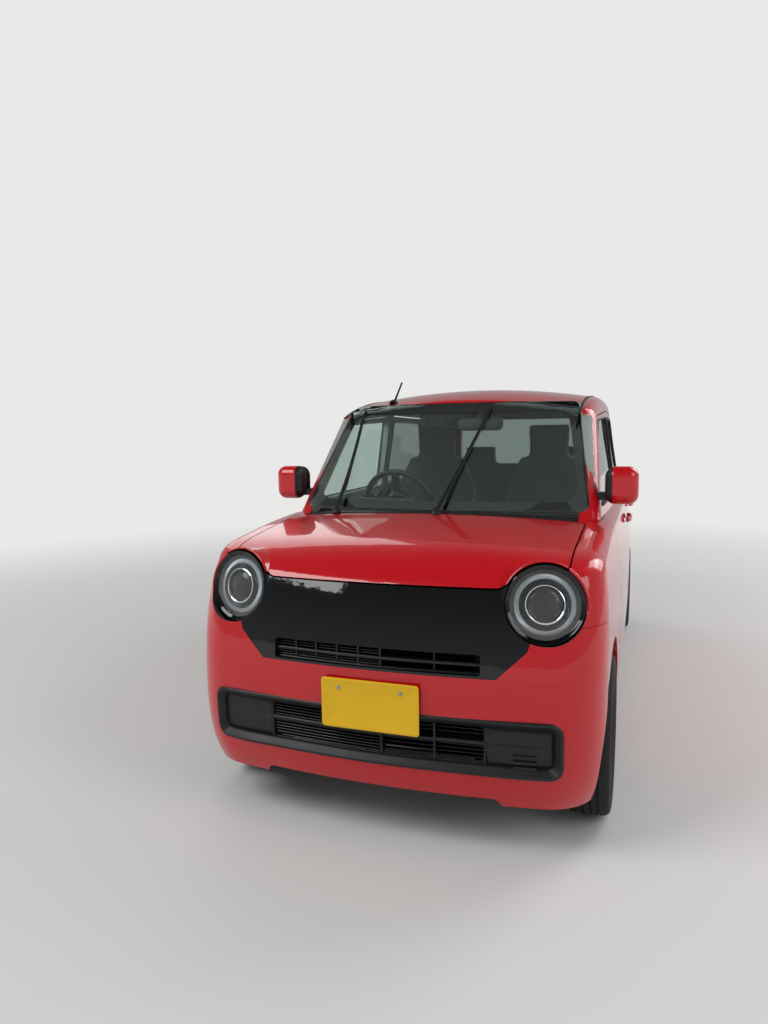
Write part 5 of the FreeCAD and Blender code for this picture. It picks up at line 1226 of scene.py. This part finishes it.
@dataclass
class SideTrim:
    """Door handles, window belts and seals, pillar films and the outer mirrors."""

    windows: dict = field(default_factory=lambda: {
        "front": [(0.9955, 1.026, 0.010), (1.3347, 1.377, 0.034), (1.890, 1.393, 0.020),
                  (1.890, 1.026, 0.014)],
        "rear": [(1.9855, 1.026, 0.014), (1.9855, 1.393, 0.020), (2.560, 1.381, 0.040),
                 (2.739, 1.026, 0.020)],
    })
    films: dict = field(default_factory=lambda: {"front": (1.8915, 1.9345), "rear": (1.9410, 1.9840)})
    handles: dict = field(default_factory=lambda: {"front": 1.800, "rear": 2.560})
    handle_z: float = 0.885
    film_heights: tuple[float, float] = (1.030, 1.388)
    mirror_foot: float = 0.690
    # x and height of the mirror glass's middle
    mirror_place: tuple[float, float] = (0.726, 1.115)
    mirror_size: tuple[float, float] = (0.116, 0.138)

    def build(self) -> None:
        """Makes what each door carries and finishes the mirrors."""
        for end in ("front", "rear"):
            for side, word in SIDES:
                body = f"{end}_door_{word}"
                low = FittedFace([f"door_{end}_{word}"], 0, int(side), 5, lambda p: p[:, 2] < 1.02)
                high = FittedFace([f"door_{end}_{word}"], 0, int(side), 3, lambda p: p[:, 2] > 0.98)
                self._handle(f"handle_{end}_{word}", body, self.handles[end], low, side)
                self._seal(f"window_seal_{end}_{word}", body, self.windows[end], high, side)
                post = FittedFace([f"door_{end}_{word}"], 0, int(side), 3, self._beside_split)
                self._film(f"pillar_film_{end}_{word}", body, self.films[end], post, side)
        for side, word in SIDES:
            self._mirror(side, word)

    @staticmethod
    def _beside_split(points: np.ndarray) -> np.ndarray:
        """Points of the window frames' uprights between the doors."""
        return (points[:, 2] > 1.0) & (np.abs(points[:, 1] - at(1.9375)) < 0.052)

    def _handle(self, name: str, body: str, station: float, face: FittedFace, side: float) -> None:
        """Bowed pull handle."""
        y = np.linspace(at(station - 0.095), at(station + 0.095), 28)
        out = 0.020 * np.sin(np.linspace(0, math.pi, 28)) ** 0.45 + 0.003
        z = np.full_like(y, self.handle_z)
        form = Form()
        path = np.stack([face(y, z) + side * out, y, z], 1)
        form.bar(path, rounded(0.026, 0.011, 0.005, 5), (1, 0, 0))
        form.make(name, PAINT, body)

    @staticmethod
    def _seal(name: str, body: str, corners: Sequence[tuple[float, float, float]], face: FittedFace,
              side: float) -> None:
        """Rubber seal round a window, its lip on the glass."""
        loop = evened(outline([(at(station), z, radius) for station, z, radius in corners]), 200)
        rings = [(inset(loop, margin), height) for margin, height in (
            (-0.0025, -0.0100), (-0.0025, 0.0006), (-0.0005, 0.0020),
            (0.0060, 0.0014), (0.0090, -0.0060), (0.0090, -0.0100),
        )]
        form = Form()
        form.grid(strip(rings, face, side, 0))
        form.make(name, SEAL, body)

    def _film(self, name: str, body: str, stations: tuple[float, float], face: FittedFace,
              side: float) -> None:
        """Black film on the door frame beside the split between the doors."""
        z = np.linspace(*self.film_heights, 24)
        rings = []
        for station, lift in ((stations[0], -0.002), (stations[0], 0.0009), (stations[1], 0.0009),
                              (stations[1], -0.002)):
            y = np.full_like(z, at(station))
            rings.append(np.stack([face(y, z) + side * lift, y, z], 1))
        form = Form()
        form.grid(capped(np.stack(rings, 1)))
        form.make(name, PIANO, body)

    def _mirror(self, side: float, word: str) -> None:
        """Painted cap on a black foot, with its glass in a dark frame."""
        dress(f"mirror_{word}", PAINT,
              (SATIN, lambda middle, normal: np.abs(middle[:, 0]) < self.mirror_foot))
        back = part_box(f"mirror_{word}")[1].y
        x, z = self.mirror_place
        width, height = self.mirror_size
        centre = np.array([side * x, back, z])
        for name, finish, slot, steps in (
            ("mirror_frame", SATIN, "trim", ((0.006, -0.022), (0.0, -0.004), (0.001, 0.0030), (0.004, 0.0045),
                                             (0.0075, 0.0035), (0.0080, 0.0014))),
            ("mirror_glass", MIRROR, "glass", ((0.0085, 0.0008), (0.0085, 0.0024), (0.012, 0.0028))),
        ):
            rings = [
                centre + np.insert(rounded(width - 2 * step, height - 2 * step, 0.042 - step, 9), 1, depth, 1)
                for step, depth in steps
            ]
            form = Form()
            form.grid(capped(np.stack(rings)))
            form.make(f"{name}_{word}", finish, f"front_door_{word}")


@dataclass
class Studio:
    """Pale floor, soft lights and the photograph's camera."""

    eye: tuple[float, float, float] = (0.811, -3.819, 1.358)
    yaw: float = 19.55
    pitch: float = 6.54
    roll: float = -0.91
    lens: float = 25.95
    backdrop: str = "#E9E9E7"
    floor_half: float = 30.0
    # name, place, size in metres and watts
    lamps: tuple = (
        ("key", (-3.6, -4.6, 5.0), 3.2, 205.0),
        ("fill", (4.6, -2.6, 3.2), 3.0, 80.0),
        ("back", (5.0, 4.6, 4.4), 4.0, 120.0),
        ("far_back", (-4.6, 4.8, 4.6), 4.0, 60.0),
        ("side", (3.4, 2.6, 4.8), 2.6, 70.0),
    )
    lamps_aim: tuple[float, float, float] = (0.0, 0.0, 0.7)

    def build(self) -> None:
        """Makes the floor, the world, the lights and the camera."""
        self._floor()
        self._world()
        for name, place, size, watts in self.lamps:
            light = bpy.data.lights.new(name, "AREA")
            light.shape, light.size, light.energy = "SQUARE", size, watts
            lamp = bpy.data.objects.new(name, light)
            lamp.location = place
            back = np.array(place) - self.lamps_aim
            lamp.rotation_euler = Matrix(self._axes(back)).transposed().to_euler()
            bpy.context.scene.collection.objects.link(lamp)
        self._camera()
        bpy.context.scene.view_settings.view_transform = "Standard"

    @staticmethod
    def _axes(back: np.ndarray) -> list[list[float]]:
        """Right, up and back directions of something that looks against back."""
        back = back / np.linalg.norm(back)
        right = np.cross((0.0, 0.0, 1.0), back) if abs(back[2]) < 0.999 else np.array([1.0, 0.0, 0.0])
        right = right / np.linalg.norm(right)
        return [right.tolist(), np.cross(back, right).tolist(), back.tolist()]

    def _camera(self) -> None:
        """Camera at the photograph's viewing angle, from yaw, pitch and roll."""
        yaw, pitch, roll = (math.radians(a) for a in (self.yaw, self.pitch, self.roll))
        back = np.array([math.sin(yaw) * math.cos(pitch), -math.cos(yaw) * math.cos(pitch), math.sin(pitch)])
        right, up, back = (np.array(a) for a in self._axes(back))
        turned_right = math.cos(roll) * right + math.sin(roll) * up
        turned_up = -math.sin(roll) * right + math.cos(roll) * up
        data = bpy.data.cameras.new("camera")
        data.lens, data.sensor_width = self.lens, 36.0
        camera = bpy.data.objects.new("camera", data)
        turn = Matrix([turned_right.tolist(), turned_up.tolist(), back.tolist()]).transposed().to_4x4()
        camera.matrix_world = Matrix.Translation(self.eye) @ turn
        bpy.context.scene.collection.objects.link(camera)
        bpy.context.scene.camera = camera

    def _floor(self) -> None:
        """Plain pale floor, 60 m across."""
        mesh = bpy.data.meshes.new("floor")
        reach = self.floor_half
        mesh.from_pydata([(-reach, -reach, 0), (reach, -reach, 0), (reach, reach, 0), (-reach, reach, 0)], [],
                         [(0, 1, 2, 3)])
        floor = bpy.data.objects.new("floor", mesh)
        bpy.context.scene.collection.objects.link(floor)
        made = bpy.data.materials.new("pale_floor")
        made.use_nodes = True
        tree = made.node_tree
        shader = tree.nodes["Principled BSDF"]
        shader.inputs["Base Color"].default_value = linear("#DCDCDA")
        shader.inputs["Roughness"].default_value = 0.85
        backdrop = add_node(tree, "ShaderNodeEmission", {"Color": linear(self.backdrop), "Strength": 1.0})
        place = add_node(tree, "ShaderNodeTexCoord").outputs["Object"]
        away = add_node(tree, "ShaderNodeVectorMath", {0: place}, operation="LENGTH").outputs["Value"]
        ramp = add_node(tree, "ShaderNodeMapRange", {"Value": away, "From Min": 2.6, "From Max": 7.5},
                        interpolation_type="SMOOTHSTEP").outputs[0]
        seen = self._seen(tree)
        share = add_node(tree, "ShaderNodeMath", {0: ramp, 1: seen}, operation="MULTIPLY").outputs[0]
        mixed = add_node(tree, "ShaderNodeMixShader",
                         {0: share, 1: shader.outputs[0], 2: backdrop.outputs[0]})
        tree.links.new(mixed.outputs[0], tree.nodes["Material Output"].inputs["Surface"])
        mesh.materials.append(made)

    @staticmethod
    def _seen(tree: bpy.types.NodeTree) -> bpy.types.NodeSocket:
        """1 for the rays that show the backdrop itself: straight, mirrored or through glass."""
        path = add_node(tree, "ShaderNodeLightPath")
        first = add_node(tree, "ShaderNodeMath",
                         {0: path.outputs["Is Camera Ray"], 1: path.outputs["Is Glossy Ray"]},
                         operation="MAXIMUM")
        return add_node(tree, "ShaderNodeMath", {0: first.outputs[0], 1: path.outputs["Is Transmission Ray"]},
                        operation="MAXIMUM").outputs[0]

    def _world(self) -> None:
        """World: one pale tone to the camera and through glass, dimmer as a light.

        What mirrors it sees it pale at the horizon and dark overhead, as between tall buildings.
        """
        world = bpy.data.worlds.new("studio")
        bpy.context.scene.world = world
        world.use_nodes = True
        tree = world.node_tree
        tree.nodes.clear()
        path = add_node(tree, "ShaderNodeLightPath")
        seen = add_node(tree, "ShaderNodeBackground", {"Color": linear(self.backdrop), "Strength": 1.0})
        place = add_node(tree, "ShaderNodeTexCoord").outputs["Generated"]
        height = add_node(tree, "ShaderNodeSeparateXYZ", {0: place}).outputs[2]
        ramp = add_node(tree, "ShaderNodeMapRange", {"Value": height, "From Min": 0.05, "From Max": 0.80,
                                                     "To Min": 0.50, "To Max": 0.07})
        mirrored = add_node(tree, "ShaderNodeBackground",
                            {"Color": linear("#EEF1F4"), "Strength": ramp.outputs[0]})
        light = add_node(tree, "ShaderNodeBackground", {"Color": linear("#F1F3F6"), "Strength": 0.36})
        first = add_node(tree, "ShaderNodeMixShader", {0: path.outputs["Is Glossy Ray"], 1: light.outputs[0],
                                                       2: mirrored.outputs[0]})
        clear = add_node(tree, "ShaderNodeMath", {0: path.outputs["Is Camera Ray"], 1:
                                                  path.outputs["Is Transmission Ray"]}, operation="MAXIMUM")
        second = add_node(tree, "ShaderNodeMixShader", {0: clear.outputs[0], 1: first.outputs[0],
                                                        2: seen.outputs[0]})
        add_node(tree, "ShaderNodeOutputWorld", {0: second.outputs[0]})


def main() -> None:
    """Builds the car's pieces in order, then the studio."""
    logging.basicConfig(level=logging.INFO, format="%(name)s: %(message)s")
    Shell().dress()
    Headlamp().build()
    Intakes().build()
    glazing = Glazing()
    glazing.dress()
    glazing.border()
    glazing.inner_mirror()
    glazing.wipers()
    RoofLine().build()
    Cabin().build()
    RoadWheels().build()
    TailEnd().build()
    SideTrim().build()
    Studio().build()


if __name__ == "__main__":
    main()
